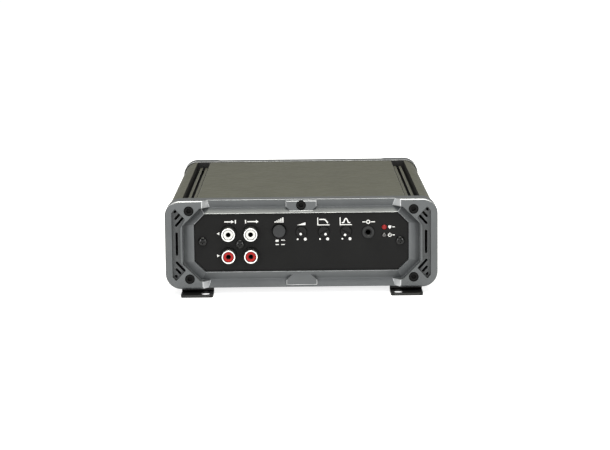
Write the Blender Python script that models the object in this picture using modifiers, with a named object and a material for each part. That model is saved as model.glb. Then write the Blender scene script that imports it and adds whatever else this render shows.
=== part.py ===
"""Compact car amplifier: an extruded heatsink body between two cast end frames.

World frame: +Z up, the control end faces -Y, the terminal end faces +Y, and the origin is at the centre
of the footprint on the surface that the feet stand on. Lengths are written in millimetres and turned into
metres where a mesh is made. Each end is drawn in its own face plane: x to the right and z up from the
body's underside as that end is looked at, and depth measured inwards from its foremost face.
"""

import math

import bmesh
import bpy
from mathutils import Vector

MM = 0.001

# Overall
BODY_WIDTH = 168.0
BODY_HEIGHT = 55.0
BODY_LENGTH = 210.0
BODY_LIFT = 4.0  # underside of the body above the surface
GAP = 0.3  # assembly clearance between neighbouring pieces
MID_X, MID_Z = BODY_WIDTH / 2, BODY_HEIGHT / 2

# End frames
FRAME_DEPTH = 14.0
CORNER_RADIUS = 9.5
FRAME_BEVEL = 1.2
RIM_SETBACK = 4.0  # the middle of each rim stands this far behind the corner blocks
RAMP_X = (56.4, 61.0)  # foot, in the valley, and head, on the corner block, of a rim's end ramps
VALLEY_DEPTH = 6.2
LIP_DEPTH = 2.5
RING_HALF, RING_Z, RING_CHAMFER = 73.2, (4.8, 50.2), (10.7, 10.7)
OPENING_HALF, OPENING_Z, OPENING_CHAMFER = 66.2, (10.3, 46.5), (6.6, 6.6)
RING_INSET = 0.4  # the ring's root stands this far inside the valley's outer wall
LEDGE_HALF, LEDGE_Z, LEDGE_CHAMFER, LEDGE_DEPTH = 57.5, (12.3, 44.5), (5.0, 5.0), 5.5
TAB_BASE, TAB_TIP, TAB_TAPER = 9.5, 4.5, 4.4
TAB_TOP_Z, TAB_LOW_Z = (45.8, 55.0), (0.0, 9.1)
VENT_Z = MID_Z + 0.2
VENT_RECESS = ((74.5, 10.4), (71.4, 15.9), (77.6, 22.6), (79.7, 20.0))  # upper half, up from VENT_Z
RECESS_DEPTH = 4.0
SLOT_WIDTH = 1.5
MIDDLE_SLOT = ((77.0, 6.6), (77.0, -6.6))
CORNER_SLOTS = (((77.2, 11.6), (72.9, 16.4)), ((77.4, 15.9), (75.2, 18.4)), ((77.5, 20.4), (77.9, 20.0)))

# Face plates
PLATE_DEPTH = 3.7
PLATE_THICKNESS = 1.5
PLATE_BACK = PLATE_DEPTH + PLATE_THICKNESS + GAP

# Fasteners
SCREW_HEAD, SCREW_SHANK = 2.75, 1.5  # radii
HEAD_HEIGHT = 3.0
EDGE_CHAMFER = 0.3  # on the rims of screw heads, jack shells and rotors
SOCKET_RADIUS, SOCKET_DEPTH = 1.45, 1.6
CORNER_SCREW_X, CORNER_SCREW_Z = 69.1, (48.7, 6.3)
TOP_SCREW_Z = 51.1
FRAME_SCREW_LENGTH = 22.0
PAN_HEAD, PAN_SHANK, PAN_LENGTH = 2.75, 1.2, 6.0
PAN_BASE, PAN_DOME = 0.5, 1.1  # height of a pan head's straight side and of its dome
CROSS_HALF, CROSS_WIDTH = 1.5, 0.6
PANEL_SCREWS = ((-61.0, 29.2), (-38.0, 27.3), (61.0, 28.6))

# Heatsink extrusion
SHELL_HALF = 83.0
SHELL_TOP = 54.5
SHELL_LOW = 0.5
SHELL_RADIUS = 9.2
FIN_TOP, GROOVE_FLOOR = 50.5, 46.6
GROOVE_EDGES = (64.7, 66.6, 68.3, 70.2, 71.9, 73.8)
CAVITY_HALF, CAVITY_TOP, CAVITY_SIDE_TOP, CAVITY_LOW = 79.5, 50.0, 42.8, 10.5
SCREW_CHANNEL = (5.0, 2.6)  # half width and depth of the rib that takes the top centre screw
BOSS_INNER, GROOVE_INNER = 65.5, 62.5
SIDE_GROOVES, SIDE_GROOVE_DEPTH = (16.0, 26.0, 36.0), 1.2
COVER_HALF, COVER_THICKNESS = 70.0, 1.5

# Controls on the front plate
JACK_X, JACK_Z = (-45.0, -31.2), (34.0, 20.2)
JACK_SHELL, JACK_INSERT, JACK_HOLE, JACK_COLLAR = 4.15, 3.05, 1.55, 4.9  # radii
JACK_WALL, INSERT_SETBACK, COLLAR_PROUD = 0.8, 0.6, 1.4
JACK_FRONT, JACK_BACK = 2.5, -11.7
JACK_MARGIN = (7.4, 6.6)  # the housing's reach beyond the outer sockets
BUTTON_X, BUTTON_Z, BUTTON_RADIUS = -13.7, 35.4, 3.85
BUTTON_FRONT, BUTTON_BACK, BUTTON_TRAVEL = -0.8, -12.2, 2.0
SWITCH_HALF = 6.2
POT_Z, POT_RADIUS, POT_HALF = 34.6, 3.3, 5.0
POT_BACK, POT_PROUD = -14.7, 1.2
DRIVER_SLOT = (5.2, 0.9, 0.9)  # length, width and depth
POTS = (("gain", 0.0, -40.0), ("crossover", 13.8, 31.0), ("boost", 27.6, -27.0))  # name, x, slot angle
REMOTE_X, REMOTE_Z, REMOTE_RADIUS, REMOTE_HOLE = 41.3, 34.0, 3.75, 1.85
REMOTE_HALF, REMOTE_DEPTH, REMOTE_PROUD = 5.2, 17.0, 0.9
LED_X, LED_Z, LED_RADIUS = 51.2, (37.0, 32.1), 1.5
LED_BACK, LED_PROUD, LED_DOME = -9.0, 0.9, 1.0

# Terminals and fuses on the rear plate
POWER_X, POWER_Z, POWER_SIZE = 33.0, 27.0, (46.0, 18.0)
POWER_WIRES = ((-15.0, 8.0), (0.0, 5.0), (15.0, 8.0))  # offset and side of each square entry
SPEAKER_X, SPEAKER_Z, SPEAKER_SIZE = -42.0, 27.0, (30.0, 18.0)
SPEAKER_WIRES = ((-7.5, 6.6), (7.5, 6.6))
WIRE_DEPTH, WIRE_DROP = 16.0, 2.5
BLOCK_FRONT, BLOCK_BACK = -1.5, -24.0
CLAMP_RADIUS, CLAMP_RISE, CLAMP_BACK, CLAMP_SOCKET = 1.9, 5.6, -8.7, 1.0
FUSE_X, FUSE_Z, FUSE_SIZE = -9.0, (33.0, 20.0), (19.0, 5.0)
FUSE_FRONT, FUSE_BACK, FUSE_WINDOW = -1.0, -12.0, (14.0, 2.0, 1.5)  # window: width, height and depth

# Feet
FOOT_STEEL = 1.6
FOOT_X = (54.6, 74.6)
FOOT_NECK_X = (62.4, 74.4)
FOOT_REACH, FOOT_TAB_BACK, FOOT_FLANGE_BACK = 7.6, 9.4, 29.0
FOOT_SLOT_X, FOOT_SLOT_LENGTH, FOOT_SLOT_WIDTH = 59.5, 12.0, 4.8
FOOT_SCREW_X, FOOT_SCREW_DEPTH = 68.4, 22.0
FOOT_SCREW_HEAD, FOOT_SCREW_LENGTH = 2.6, 7.0
FOOT_CORNER = 2.5

# Boards and their large components
BOARD_THICKNESS = 1.6
CONTROL_BOARD_DEPTH, CONTROL_BOARD_X, CONTROL_BOARD_TOP = 20.5, (-55.0, 57.0), 46.0
MAIN_BOARD_Z, MAIN_BOARD_HALF, MAIN_BOARD_REAR = 10.8, 78.0, 78.0
COILS = (("power_toroid", (-38.0, 28.0), 17.0, 7.0), ("output_inductor", (40.0, -35.0), 12.0, 5.5))
CAPACITOR_PLACE, CAPACITOR_RADIUS, CAPACITOR_HEIGHT, CAPACITOR_CHAMFER = (-20.0, -45.0), 12.5, 30.0, 1.5

SEGMENTS = 16
FINE = 12  # segments of screw shanks and small bores

for leftover in list(bpy.data.objects):
    bpy.data.objects.remove(leftover)

parts = bpy.data.collections.new("car_amplifier")
cutters = bpy.data.collections.new("cutters")
for collection in (parts, cutters):
    bpy.context.scene.collection.children.link(collection)
cutters.hide_render = True

FINISHES = {
    "cast_silver": ((0.17, 0.18, 0.185), 0.45, 0.8),
    "anodised": ((0.14, 0.14, 0.12), 0.5, 0.7),
    "black_panel": ((0.025, 0.025, 0.025), 0.6, 0.0),
    "black_steel": ((0.01, 0.01, 0.01), 0.4, 0.6),
    "bright_metal": ((0.75, 0.75, 0.75), 0.2, 1.0),
    "black_plastic": ((0.012, 0.012, 0.012), 0.5, 0.0),
    "grey_plastic": ((0.05, 0.05, 0.055), 0.5, 0.0),
    "white_plastic": ((0.85, 0.85, 0.82), 0.4, 0.0),
    "red_plastic": ((0.7, 0.03, 0.02), 0.35, 0.0),
    "dark_lens": ((0.02, 0.004, 0.004), 0.2, 0.0),
    "circuit_board": ((0.02, 0.12, 0.05), 0.5, 0.0),
    "copper_winding": ((0.55, 0.22, 0.08), 0.35, 0.9),
    "capacitor_sleeve": ((0.03, 0.04, 0.12), 0.3, 0.0),
}


def finish(obj, finish_name):
    """Gives the piece a material of its own with the named finish."""
    colour, roughness, metallic = FINISHES[finish_name]
    material = bpy.data.materials.new(obj.name)
    material.use_nodes = True
    shader = material.node_tree.nodes["Principled BSDF"]
    shader.inputs["Base Color"].default_value = (*colour, 1.0)
    shader.inputs["Roughness"].default_value = roughness
    shader.inputs["Metallic"].default_value = metallic
    obj.data.materials.clear()
    obj.data.materials.append(material)


def new_object(name, mesh, collection=parts):
    obj = bpy.data.objects.new(name, mesh)
    collection.objects.link(obj)
    return obj


def from_bmesh(name, work, collection=parts):
    mesh = bpy.data.meshes.new(name)
    bmesh.ops.recalc_face_normals(work, faces=work.faces)
    work.to_mesh(mesh)
    work.free()
    return new_object(name, mesh, collection)


def evaluated_mesh(obj):
    """The object's mesh with its modifiers applied and its loose seams welded."""
    bpy.context.view_layer.update()
    graph = bpy.context.evaluated_depsgraph_get()
    mesh = bpy.data.meshes.new_from_object(obj.evaluated_get(graph))
    work = bmesh.new()
    work.from_mesh(mesh)
    bmesh.ops.remove_doubles(work, verts=work.verts, dist=1e-6)
    bmesh.ops.recalc_face_normals(work, faces=work.faces)
    work.to_mesh(mesh)
    work.free()
    return mesh


def plate(name, outlines, low, high, collection=parts):
    """A flat piece between local heights low and high; the outlines after the first are its holes."""
    curve = bpy.data.curves.new(name, "CURVE")
    curve.dimensions = "2D"
    curve.fill_mode = "BOTH"
    curve.extrude = (high - low) / 2 * MM
    for outline in outlines:
        spline = curve.splines.new("POLY")
        spline.points.add(len(outline) - 1)
        for point, (x, y) in zip(spline.points, outline):
            point.co = (x * MM, y * MM, 0.0, 1.0)
        spline.use_cyclic_u = True
    sketch = new_object(name + "_sketch", curve)
    mesh = evaluated_mesh(sketch)
    bpy.data.objects.remove(sketch)
    for vertex in mesh.vertices:
        vertex.co.z += (low + high) / 2 * MM
    return new_object(name, mesh, collection)


def skin(name, rings, collection=parts):
    """A solid skinned over rings of equal point count, capped at both ends."""
    work = bmesh.new()
    loops = [[work.verts.new(Vector(point) * MM) for point in ring] for ring in rings]
    work.faces.new(loops[0])
    work.faces.new(loops[-1])
    count = len(loops[0])
    for near, far in zip(loops, loops[1:]):
        for i in range(count):
            j = (i + 1) % count
            work.faces.new((near[i], near[j], far[j], far[i]))
    return from_bmesh(name, work, collection)


def cylinder(name, radius, low, high, segments=SEGMENTS, collection=parts):
    work = bmesh.new()
    size = {"radius1": radius * MM, "radius2": radius * MM, "depth": (high - low) * MM}
    bmesh.ops.create_cone(work, cap_ends=True, segments=segments, **size)
    bmesh.ops.translate(work, verts=work.verts, vec=(0, 0, (low + high) / 2 * MM))
    return from_bmesh(name, work, collection)


def box(name, corner, opposite, collection=parts):
    work = bmesh.new()
    bmesh.ops.create_cube(work, size=1.0)
    low, high = Vector(corner), Vector(opposite)
    bmesh.ops.scale(work, verts=work.verts, vec=(high - low) * MM)
    bmesh.ops.translate(work, verts=work.verts, vec=(low + high) / 2 * MM)
    return from_bmesh(name, work, collection)


def turned(name, profile, segments=SEGMENTS, closed=False, collection=parts):
    """A profile of (radius, height) points, running down its outer side, turned about local Z."""
    mesh = bpy.data.meshes.new(name)
    points = [(radius * MM, 0.0, height * MM) for radius, height in profile]
    edges = [(i, i + 1) for i in range(len(points) - 1)]
    if closed:
        edges.append((len(points) - 1, 0))
    mesh.from_pydata(points, edges, [])
    obj = new_object(name, mesh, collection)
    screw = obj.modifiers.new("turn", "SCREW")
    screw.steps = screw.render_steps = segments
    screw.use_merge_vertices = True
    screw.merge_threshold = 1e-6
    screw.use_smooth_shade = True
    return obj


def combine(obj, other, operation):
    """Adds a Boolean; the other solid moves to the cutters as a wire guide in the same local frame."""
    if other.name in parts.objects:
        parts.objects.unlink(other)
        cutters.objects.link(other)
    other.display_type = "WIRE"
    other.hide_render = True
    boolean = obj.modifiers.new(operation.lower(), "BOOLEAN")
    boolean.object = other
    boolean.operation = operation


def cut(obj, *others):
    for other in others:
        combine(obj, other, "DIFFERENCE")


def join(obj, *others):
    for other in others:
        combine(obj, other, "UNION")


def settle(obj):
    """Bakes the modifiers, so that copies can share the mesh and the piece can be moved freely."""
    mesh = evaluated_mesh(obj)
    mesh.shade_smooth()
    mesh.set_sharp_from_angle(angle=math.radians(35))
    obj.modifiers.clear()
    obj.data = mesh
    return obj


def on_end(obj, end, x=0.0, z=0.0):
    """Stands the piece's local frame on the front or rear face plane, with local +Z pointing outwards."""
    side = 1 if end == "front" else -1
    obj.location = (side * x * MM, -side * BODY_LENGTH / 2 * MM, (BODY_LIFT + z) * MM)
    obj.rotation_euler = (math.radians(90), 0.0, 0.0 if side == 1 else math.radians(180))
    return obj


def copies(prototype, names, finish_name):
    """Objects that share the prototype's baked mesh; the prototype itself is the first."""
    mesh = prototype.data
    made = []
    for name in names:
        obj = prototype if not made else new_object(name, mesh.copy())
        obj.name = name
        finish(obj, finish_name)
        made.append(obj)
    return made


def arc(centre, radius, start, end, steps):
    for i in range(steps + 1):
        angle = math.radians(start + (end - start) * i / steps)
        yield (centre[0] + radius * math.cos(angle), centre[1] + radius * math.sin(angle))


def circle(x, z, radius, segments=SEGMENTS):
    return list(arc((x, z), radius, 0, 360 * (segments - 1) / segments, segments - 1))


def rounded_rectangle(x_range, z_range, radius, steps=6):
    x0, x1 = x_range[0] + radius, x_range[1] - radius
    z0, z1 = z_range[0] + radius, z_range[1] - radius
    points = []
    for i, centre in enumerate(((x1, z1), (x0, z1), (x0, z0), (x1, z0))):
        points.extend(arc(centre, radius, 90 * i, 90 * (i + 1), steps))
    return points


def octagon(half, z_range, chamfer, inset=0.0):
    low, high = z_range[0] + inset, z_range[1] - inset
    half -= inset
    across, up = chamfer
    return [
        (half, low + up), (half, high - up), (half - across, high), (-half + across, high),
        (-half, high - up), (-half, low + up), (-half + across, low), (half - across, low),
    ]


def slot_outline(start, end, width, steps=3):
    """An outline with round ends round the line between the two points."""
    heading = math.degrees(math.atan2(end[1] - start[1], end[0] - start[0]))
    return list(arc(end, width / 2, heading - 90, heading + 90, steps)) + list(
        arc(start, width / 2, heading + 90, heading + 270, steps)
    )


def at_depth(outline, depth):
    return [(x, z, -depth) for x, z in outline]


def rim_cutter(name, outer_z, valley_z):
    """Takes the middle of a rim back to a face that slopes in from the outer edge to the valley."""
    margin = 3.0
    beyond = outer_z + math.copysign(margin, outer_z - valley_z)
    slope = (VALLEY_DEPTH - RIM_SETBACK) / abs(outer_z - valley_z)

    def ring(outer_depth, valley_depth):
        corners = ((beyond, outer_depth), (valley_z, valley_depth))
        reach = [RAMP_X[1] - (RAMP_X[1] - RAMP_X[0]) * depth / VALLEY_DEPTH for _, depth in corners]
        (z0, d0), (z1, d1) = corners
        return [(reach[0], z0, -d0), (-reach[0], z0, -d0), (-reach[1], z1, -d1), (reach[1], z1, -d1)]

    return skin(name, [ring(-1.0, -1.0), ring(RIM_SETBACK - margin * slope, VALLEY_DEPTH)], cutters)


def vent_recess(side):
    points = list(VENT_RECESS) + [(x, -z) for x, z in reversed(VENT_RECESS)]
    return [(side * x, VENT_Z + z) for x, z in points]


def vent_slots(side):
    lines = [MIDDLE_SLOT]
    for up in (1, -1):
        lines += [((a, up * b), (c, up * d)) for (a, b), (c, d) in CORNER_SLOTS]
    return [
        slot_outline((side * a, VENT_Z + b), (side * c, VENT_Z + d), SLOT_WIDTH) for (a, b), (c, d) in lines
    ]


def end_screws(end):
    """(name, x, z, depth of the face it sits on) of each screw; the front has a fifth at the top centre."""
    spots = [
        (f"{row}_{side}", sign * CORNER_SCREW_X, z, 0.0)
        for row, z in zip(("top", "bottom"), CORNER_SCREW_Z) for side, sign in (("left", -1), ("right", 1))
    ]
    if end == "front":
        spots.append(("top_centre", 0.0, TOP_SCREW_Z, RIM_SETBACK))
    return spots


def tab_outline(tip_z, edge_z):
    """A tab with its narrow tip at the opening and its full width at the frame's edge."""
    way = math.copysign(1.0, edge_z - tip_z)
    points = [(-TAB_TIP, tip_z), (TAB_TIP, tip_z), (TAB_BASE, tip_z + way * TAB_TAPER)]
    points += [(TAB_BASE, edge_z - way * FRAME_BEVEL), (-TAB_BASE, edge_z - way * FRAME_BEVEL)]
    return points + [(-TAB_BASE, tip_z + way * TAB_TAPER)]


def end_frame(name, end):
    """A cast frame: proud corner blocks, sloped rims, a raised ring round the opening, and side vents."""
    def outline(inset):
        return rounded_rectangle(
            (-MID_X + inset, MID_X - inset), (inset, BODY_HEIGHT - inset), CORNER_RADIUS - inset
        )

    frame = skin(name, [
        at_depth(outline(FRAME_BEVEL), 0.0),
        at_depth(outline(0.0), FRAME_BEVEL),
        at_depth(outline(0.0), FRAME_DEPTH),
    ])
    valley = octagon(RING_HALF, RING_Z, RING_CHAMFER)
    opening = octagon(OPENING_HALF, OPENING_Z, OPENING_CHAMFER)
    cut(
        frame,
        rim_cutter(end + "_upper_rim_cutter", BODY_HEIGHT, RING_Z[1]),
        rim_cutter(end + "_lower_rim_cutter", 0.0, RING_Z[0]),
        skin(end + "_valley_cutter", [at_depth(valley, -1.0), at_depth(valley, VALLEY_DEPTH)], cutters),
    )
    root = octagon(RING_HALF, RING_Z, RING_CHAMFER, RING_INSET)
    join(frame, skin(end + "_ring", [
        at_depth(opening, LIP_DEPTH), at_depth(root, VALLEY_DEPTH), at_depth(root, FRAME_DEPTH - 1.0),
    ]))
    for tab_name, (tip, edge) in (("_top_tab", TAB_TOP_Z), ("_low_tab", TAB_LOW_Z[::-1])):
        join(frame, plate(end + tab_name, [tab_outline(tip, edge)], -FRAME_DEPTH + 2.0, -RIM_SETBACK))
    ledge = octagon(LEDGE_HALF, LEDGE_Z, LEDGE_CHAMFER)
    cut(
        frame,
        skin(end + "_opening_cutter", [at_depth(opening, -1.0), at_depth(opening, LEDGE_DEPTH)], cutters),
        skin(end + "_ledge_cutter", [at_depth(ledge, 0.0), at_depth(ledge, FRAME_DEPTH + 1.0)], cutters),
    )
    for side, word in ((-1, "_left"), (1, "_right")):
        cut(
            frame,
            plate(end + word + "_recess_cutter", [vent_recess(side)], -RECESS_DEPTH, 1.0, cutters),
            plate(end + word + "_slot_cutter", vent_slots(side), -FRAME_DEPTH - 1.0, 0.5, cutters),
        )
    for place, x, z, depth in end_screws(end):
        seat, bore = circle(x, z, SCREW_HEAD + GAP), circle(x, z, SCREW_SHANK + GAP, FINE)
        floor = -depth - HEAD_HEIGHT - GAP
        cut(
            frame,
            plate(f"{end}_{place}_seat_cutter", [seat], floor, 2.0 - depth, cutters),
            plate(f"{end}_{place}_bore_cutter", [bore], -FRAME_DEPTH - 1.0, floor + 1.0, cutters),
        )
    if end == "front":
        holes = [circle(x, z, PAN_SHANK + GAP, FINE) for x, z in (PANEL_SCREWS[0], PANEL_SCREWS[2])]
        cut(frame, plate("plate_screw_cutter", holes, -FRAME_DEPTH - 1.0, -LEDGE_DEPTH + 1.0, cutters))
    on_end(settle(frame), end)
    finish(frame, "cast_silver")


def shell_profile():
    """Closed outline of the extrusion across the body: top grooves, round shoulders and bottom bosses."""
    channel, channel_depth = SCREW_CHANNEL
    cover_top = SHELL_LOW + COVER_THICKNESS + GAP
    cover_edge = COVER_HALF + GAP
    corner = SHELL_HALF - SHELL_RADIUS
    half = [(channel, CAVITY_TOP), (GROOVE_INNER, CAVITY_TOP), (GROOVE_INNER, CAVITY_SIDE_TOP),
            (CAVITY_HALF, CAVITY_SIDE_TOP), (CAVITY_HALF, CAVITY_LOW), (BOSS_INNER, CAVITY_LOW),
            (BOSS_INNER, cover_top), (cover_edge, cover_top), (cover_edge, SHELL_LOW)]
    half += arc((corner, SHELL_LOW + SHELL_RADIUS), SHELL_RADIUS, -90, 0, 6)
    groove_x = SHELL_HALF - SIDE_GROOVE_DEPTH
    for z in SIDE_GROOVES:
        half += [(SHELL_HALF, z), (groove_x, z + 0.8), (groove_x, z + 2.0), (SHELL_HALF, z + 2.8)]
    half += arc((corner, SHELL_TOP - SHELL_RADIUS), SHELL_RADIUS, 0, 90, 8)
    tops = (SHELL_TOP, FIN_TOP, FIN_TOP, SHELL_TOP)
    inner, outer = GROOVE_EDGES[::2], GROOVE_EDGES[1::2]
    for i in (2, 1, 0):
        half += [(outer[i], GROOVE_FLOOR), (inner[i], GROOVE_FLOOR), (inner[i], tops[i])]
        if i:
            half.append((outer[i - 1], tops[i]))
    rib = CAVITY_TOP - channel_depth
    return [(channel, rib)] + half + [(-x, z) for x, z in reversed(half)] + [(-channel, rib)]


def foot_screw_spots():
    depth = BODY_LENGTH / 2 - FOOT_SCREW_DEPTH
    return [(sx * FOOT_SCREW_X, sy * depth) for sx in (-1, 1) for sy in (-1, 1)]


def heatsink():
    reach = BODY_LENGTH / 2 - FRAME_DEPTH - GAP
    thread = FRAME_SCREW_LENGTH - FRAME_DEPTH + 6.0  # the bores run past the longest screw's tip
    body = plate("heatsink_body", [shell_profile()], -reach, reach)
    for end, sign in (("front", 1), ("rear", -1)):
        for place, x, z, _ in end_screws(end):
            ends = sorted((sign * (reach - thread), sign * (reach + 1.0)))
            hole = circle(sign * x, z, SCREW_SHANK + GAP, FINE)
            cut(body, plate(f"{end}_{place}_thread_cutter", [hole], *ends, cutters))
    settle(body)
    body.location = (0, 0, BODY_LIFT * MM)
    body.rotation_euler = (math.radians(90), 0, 0)
    low = BODY_LIFT + SHELL_LOW - 1.0
    for x, y in foot_screw_spots():
        hole = circle(x, y, SCREW_SHANK + GAP, FINE)
        cut(body, plate("foot_hole_cutter", [hole], low, low + FOOT_SCREW_LENGTH + 1.0, cutters))
    finish(body, "anodised")


def bottom_cover():
    reach = BODY_LENGTH / 2 - FRAME_DEPTH - GAP
    outline = [(COVER_HALF, reach), (-COVER_HALF, reach), (-COVER_HALF, -reach), (COVER_HALF, -reach)]
    holes = [circle(x, y, SCREW_SHANK + GAP, FINE) for x, y in foot_screw_spots()]
    low = BODY_LIFT + SHELL_LOW
    finish(plate("bottom_cover", [outline] + holes, low, low + COVER_THICKNESS), "black_steel")


def socket_screw(name, length):
    """A socket-head screw with its head's face at local height 0."""
    screw = turned(name, [(0, 0), (SCREW_HEAD - EDGE_CHAMFER, 0), (SCREW_HEAD, -EDGE_CHAMFER),
                          (SCREW_HEAD, -HEAD_HEIGHT), (SCREW_SHANK, -HEAD_HEIGHT),
                          (SCREW_SHANK, -length), (0, -length)])
    cut(screw, cylinder(name + "_socket_cutter", SOCKET_RADIUS, -SOCKET_DEPTH, 1.0, 6, cutters))
    return settle(screw)


def pan_screw(name, radius, length, shank):
    """A cross-recessed pan-head screw with the head's underside at local height 0."""
    angles = [math.radians(30 * i) for i in range(4)]
    dome = [(radius * math.sin(a), PAN_BASE + PAN_DOME * math.cos(a)) for a in angles]
    screw = turned(name, dome + [(radius, 0), (shank, 0), (shank, -length), (0, -length)], FINE)
    width = CROSS_WIDTH / 2
    for i, (half_x, half_y) in enumerate(((CROSS_HALF, width), (width, CROSS_HALF))):
        low, high = (-half_x, -half_y, PAN_BASE), (half_x, half_y, PAN_BASE + 2 * PAN_DOME)
        cut(screw, box(f"{name}_cross_cutter_{i}", low, high, cutters))
    return settle(screw)


def frame_screws():
    spots = [(end, *spot) for end in ("front", "rear") for spot in end_screws(end)]
    names = [f"{end}_frame_screw_{place}" for end, place, *_ in spots]
    screws = copies(socket_screw("frame_screw", FRAME_SCREW_LENGTH), names, "black_steel")
    for screw, (end, _, x, z, depth) in zip(screws, spots):
        on_end(screw, end, x, z)
        screw.location.y += (depth + GAP) * MM * (1 if end == "front" else -1)


def panel_screws():
    names = [f"panel_screw_{place}" for place in ("left", "middle", "right")]
    screws = copies(pan_screw("panel_screw", PAN_HEAD, PAN_LENGTH, PAN_SHANK), names, "black_steel")
    for screw, (x, z) in zip(screws, PANEL_SCREWS):
        on_end(screw, "front", x, z)
        screw.location.y += (PLATE_DEPTH - GAP) * MM


def face_plate(name, end, holes):
    outline = octagon(OPENING_HALF, OPENING_Z, OPENING_CHAMFER, inset=GAP)
    panel = plate(name, [outline] + holes, -PLATE_DEPTH - PLATE_THICKNESS, -PLATE_DEPTH)
    finish(on_end(panel, end), "black_panel")


def front_panel():
    holes = [circle(x, z, PAN_SHANK + GAP, FINE) for x, z in PANEL_SCREWS]
    holes += [circle(x, z, JACK_COLLAR + GAP) for x in JACK_X for z in JACK_Z]
    holes.append(circle(BUTTON_X, BUTTON_Z, BUTTON_RADIUS + 2 * GAP))
    holes += [circle(x, POT_Z, POT_RADIUS + GAP) for _, x, _ in POTS]
    holes.append(circle(REMOTE_X, REMOTE_Z, REMOTE_RADIUS + GAP))
    holes += [circle(LED_X, z, LED_RADIUS + GAP) for z in LED_Z]
    face_plate("front_control_panel", "front", holes)


def rca_sockets():
    """One moulded housing with four collars, and a metal shell and a coloured insert in each."""
    across, up = JACK_MARGIN
    low = (JACK_X[0] - across, JACK_Z[1] - up, -CONTROL_BOARD_DEPTH + GAP)
    housing = box("rca_housing", low, (JACK_X[1] + across, JACK_Z[0] + up, -PLATE_BACK))
    bore_floor = JACK_BACK - GAP
    spots = [(x, z) for z in JACK_Z for x in JACK_X]
    for i, (x, z) in enumerate(spots):
        collar = circle(x, z, JACK_COLLAR)
        join(housing, plate(f"rca_collar_{i}", [collar], -PLATE_BACK - 1.0, -PLATE_DEPTH + COLLAR_PROUD))
        bore = circle(x, z, JACK_SHELL + GAP)
        cut(housing, plate(f"rca_bore_cutter_{i}", [bore], bore_floor, 0.0, cutters))
    middle = circle(*PANEL_SCREWS[1], PAN_SHANK + GAP, FINE)
    cut(housing, plate("rca_screw_cutter", [middle], bore_floor, 0.0, cutters))
    on_end(settle(housing), "front")
    finish(housing, "black_plastic")
    edge, inner, face = EDGE_CHAMFER, JACK_SHELL - JACK_WALL, JACK_FRONT - INSERT_SETBACK
    wall = [(JACK_SHELL - edge, JACK_FRONT), (JACK_SHELL, JACK_FRONT - edge), (JACK_SHELL, JACK_BACK),
            (inner, JACK_BACK), (inner, JACK_FRONT)]
    shell = turned("rca_shell", wall, closed=True)
    wall = [(JACK_HOLE, face), (JACK_INSERT, face), (JACK_INSERT, JACK_BACK), (JACK_HOLE, JACK_BACK)]
    insert = turned("rca_insert", wall, closed=True)
    places = [f"{kind}_{colour}" for colour in ("white", "red") for kind in ("input", "output")]
    shells = copies(settle(shell), [f"rca_shell_{place}" for place in places], "bright_metal")
    inserts = copies(settle(insert), [f"rca_insert_{place}" for place in places], "white_plastic")
    for i, (x, z) in enumerate(spots):
        on_end(shells[i], "front", x, z)
        on_end(inserts[i], "front", x, z)
    for red in inserts[2:]:
        finish(red, "red_plastic")


def board_box(name, half, bore_radius, bore_floor):
    """A square body from the control board to the plate, with a round bore in its front."""
    body = box(name, (-half, -half, -CONTROL_BOARD_DEPTH + GAP), (half, half, -PLATE_BACK))
    cut(body, cylinder(name + "_bore_cutter", bore_radius, bore_floor, 0.0, collection=cutters))
    return settle(body)


def level_switch():
    body = board_box("level_switch_body", SWITCH_HALF, BUTTON_RADIUS + GAP, BUTTON_BACK - BUTTON_TRAVEL - GAP)
    finish(on_end(body, "front", BUTTON_X, BUTTON_Z), "black_plastic")
    button = turned("level_button", [
        (0, BUTTON_FRONT), (BUTTON_RADIUS - 0.5, BUTTON_FRONT), (BUTTON_RADIUS, BUTTON_FRONT - 0.5),
        (BUTTON_RADIUS, BUTTON_BACK), (0, BUTTON_BACK),
    ])
    finish(on_end(settle(button), "front", BUTTON_X, BUTTON_Z), "grey_plastic")


def trim_pots():
    """Each trimmer is a square case on the control board with a slotted rotor that turns in its bore."""
    face = -PLATE_DEPTH + POT_PROUD
    length, width, depth = DRIVER_SLOT
    for name, x, slot_angle in POTS:
        case = board_box(name + "_pot_case", POT_HALF, POT_RADIUS + GAP, POT_BACK - GAP)
        finish(on_end(case, "front", x, POT_Z), "black_plastic")
        rotor = turned(name + "_pot_rotor", [
            (0, face), (POT_RADIUS - EDGE_CHAMFER, face), (POT_RADIUS, face - EDGE_CHAMFER),
            (POT_RADIUS, POT_BACK), (0, POT_BACK),
        ])
        corner, opposite = (-length / 2, -width / 2, face - depth), (length / 2, width / 2, 0.0)
        driver = box(name + "_driver_cutter", corner, opposite, cutters)
        driver.rotation_euler.z = math.radians(slot_angle)
        cut(rotor, driver)
        finish(on_end(settle(rotor), "front", x, POT_Z), "black_plastic")


def remote_socket():
    half, front = REMOTE_HALF, -PLATE_DEPTH + REMOTE_PROUD
    jack = box("remote_jack", (-half, -half, -CONTROL_BOARD_DEPTH + GAP), (half, half, -PLATE_BACK))
    join(jack, cylinder("remote_barrel", REMOTE_RADIUS, -PLATE_BACK - 1.0, front))
    cut(jack, cylinder("remote_bore_cutter", REMOTE_HOLE, -REMOTE_DEPTH, 1.0, collection=cutters))
    finish(on_end(settle(jack), "front", REMOTE_X, REMOTE_Z), "grey_plastic")


def indicator_lights():
    base = -PLATE_DEPTH + LED_PROUD - LED_DOME
    angles = [math.radians(18 * i) for i in range(6)]
    dome = [(LED_RADIUS * math.sin(a), base + LED_DOME * math.cos(a)) for a in angles]
    lights = (("protect_led", LED_Z[0], "red_plastic"), ("power_led", LED_Z[1], "dark_lens"))
    for name, z, finish_name in lights:
        led = turned(name, dome + [(LED_RADIUS, LED_BACK), (0, LED_BACK)])
        finish(on_end(settle(led), "front", LED_X, z), finish_name)


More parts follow.
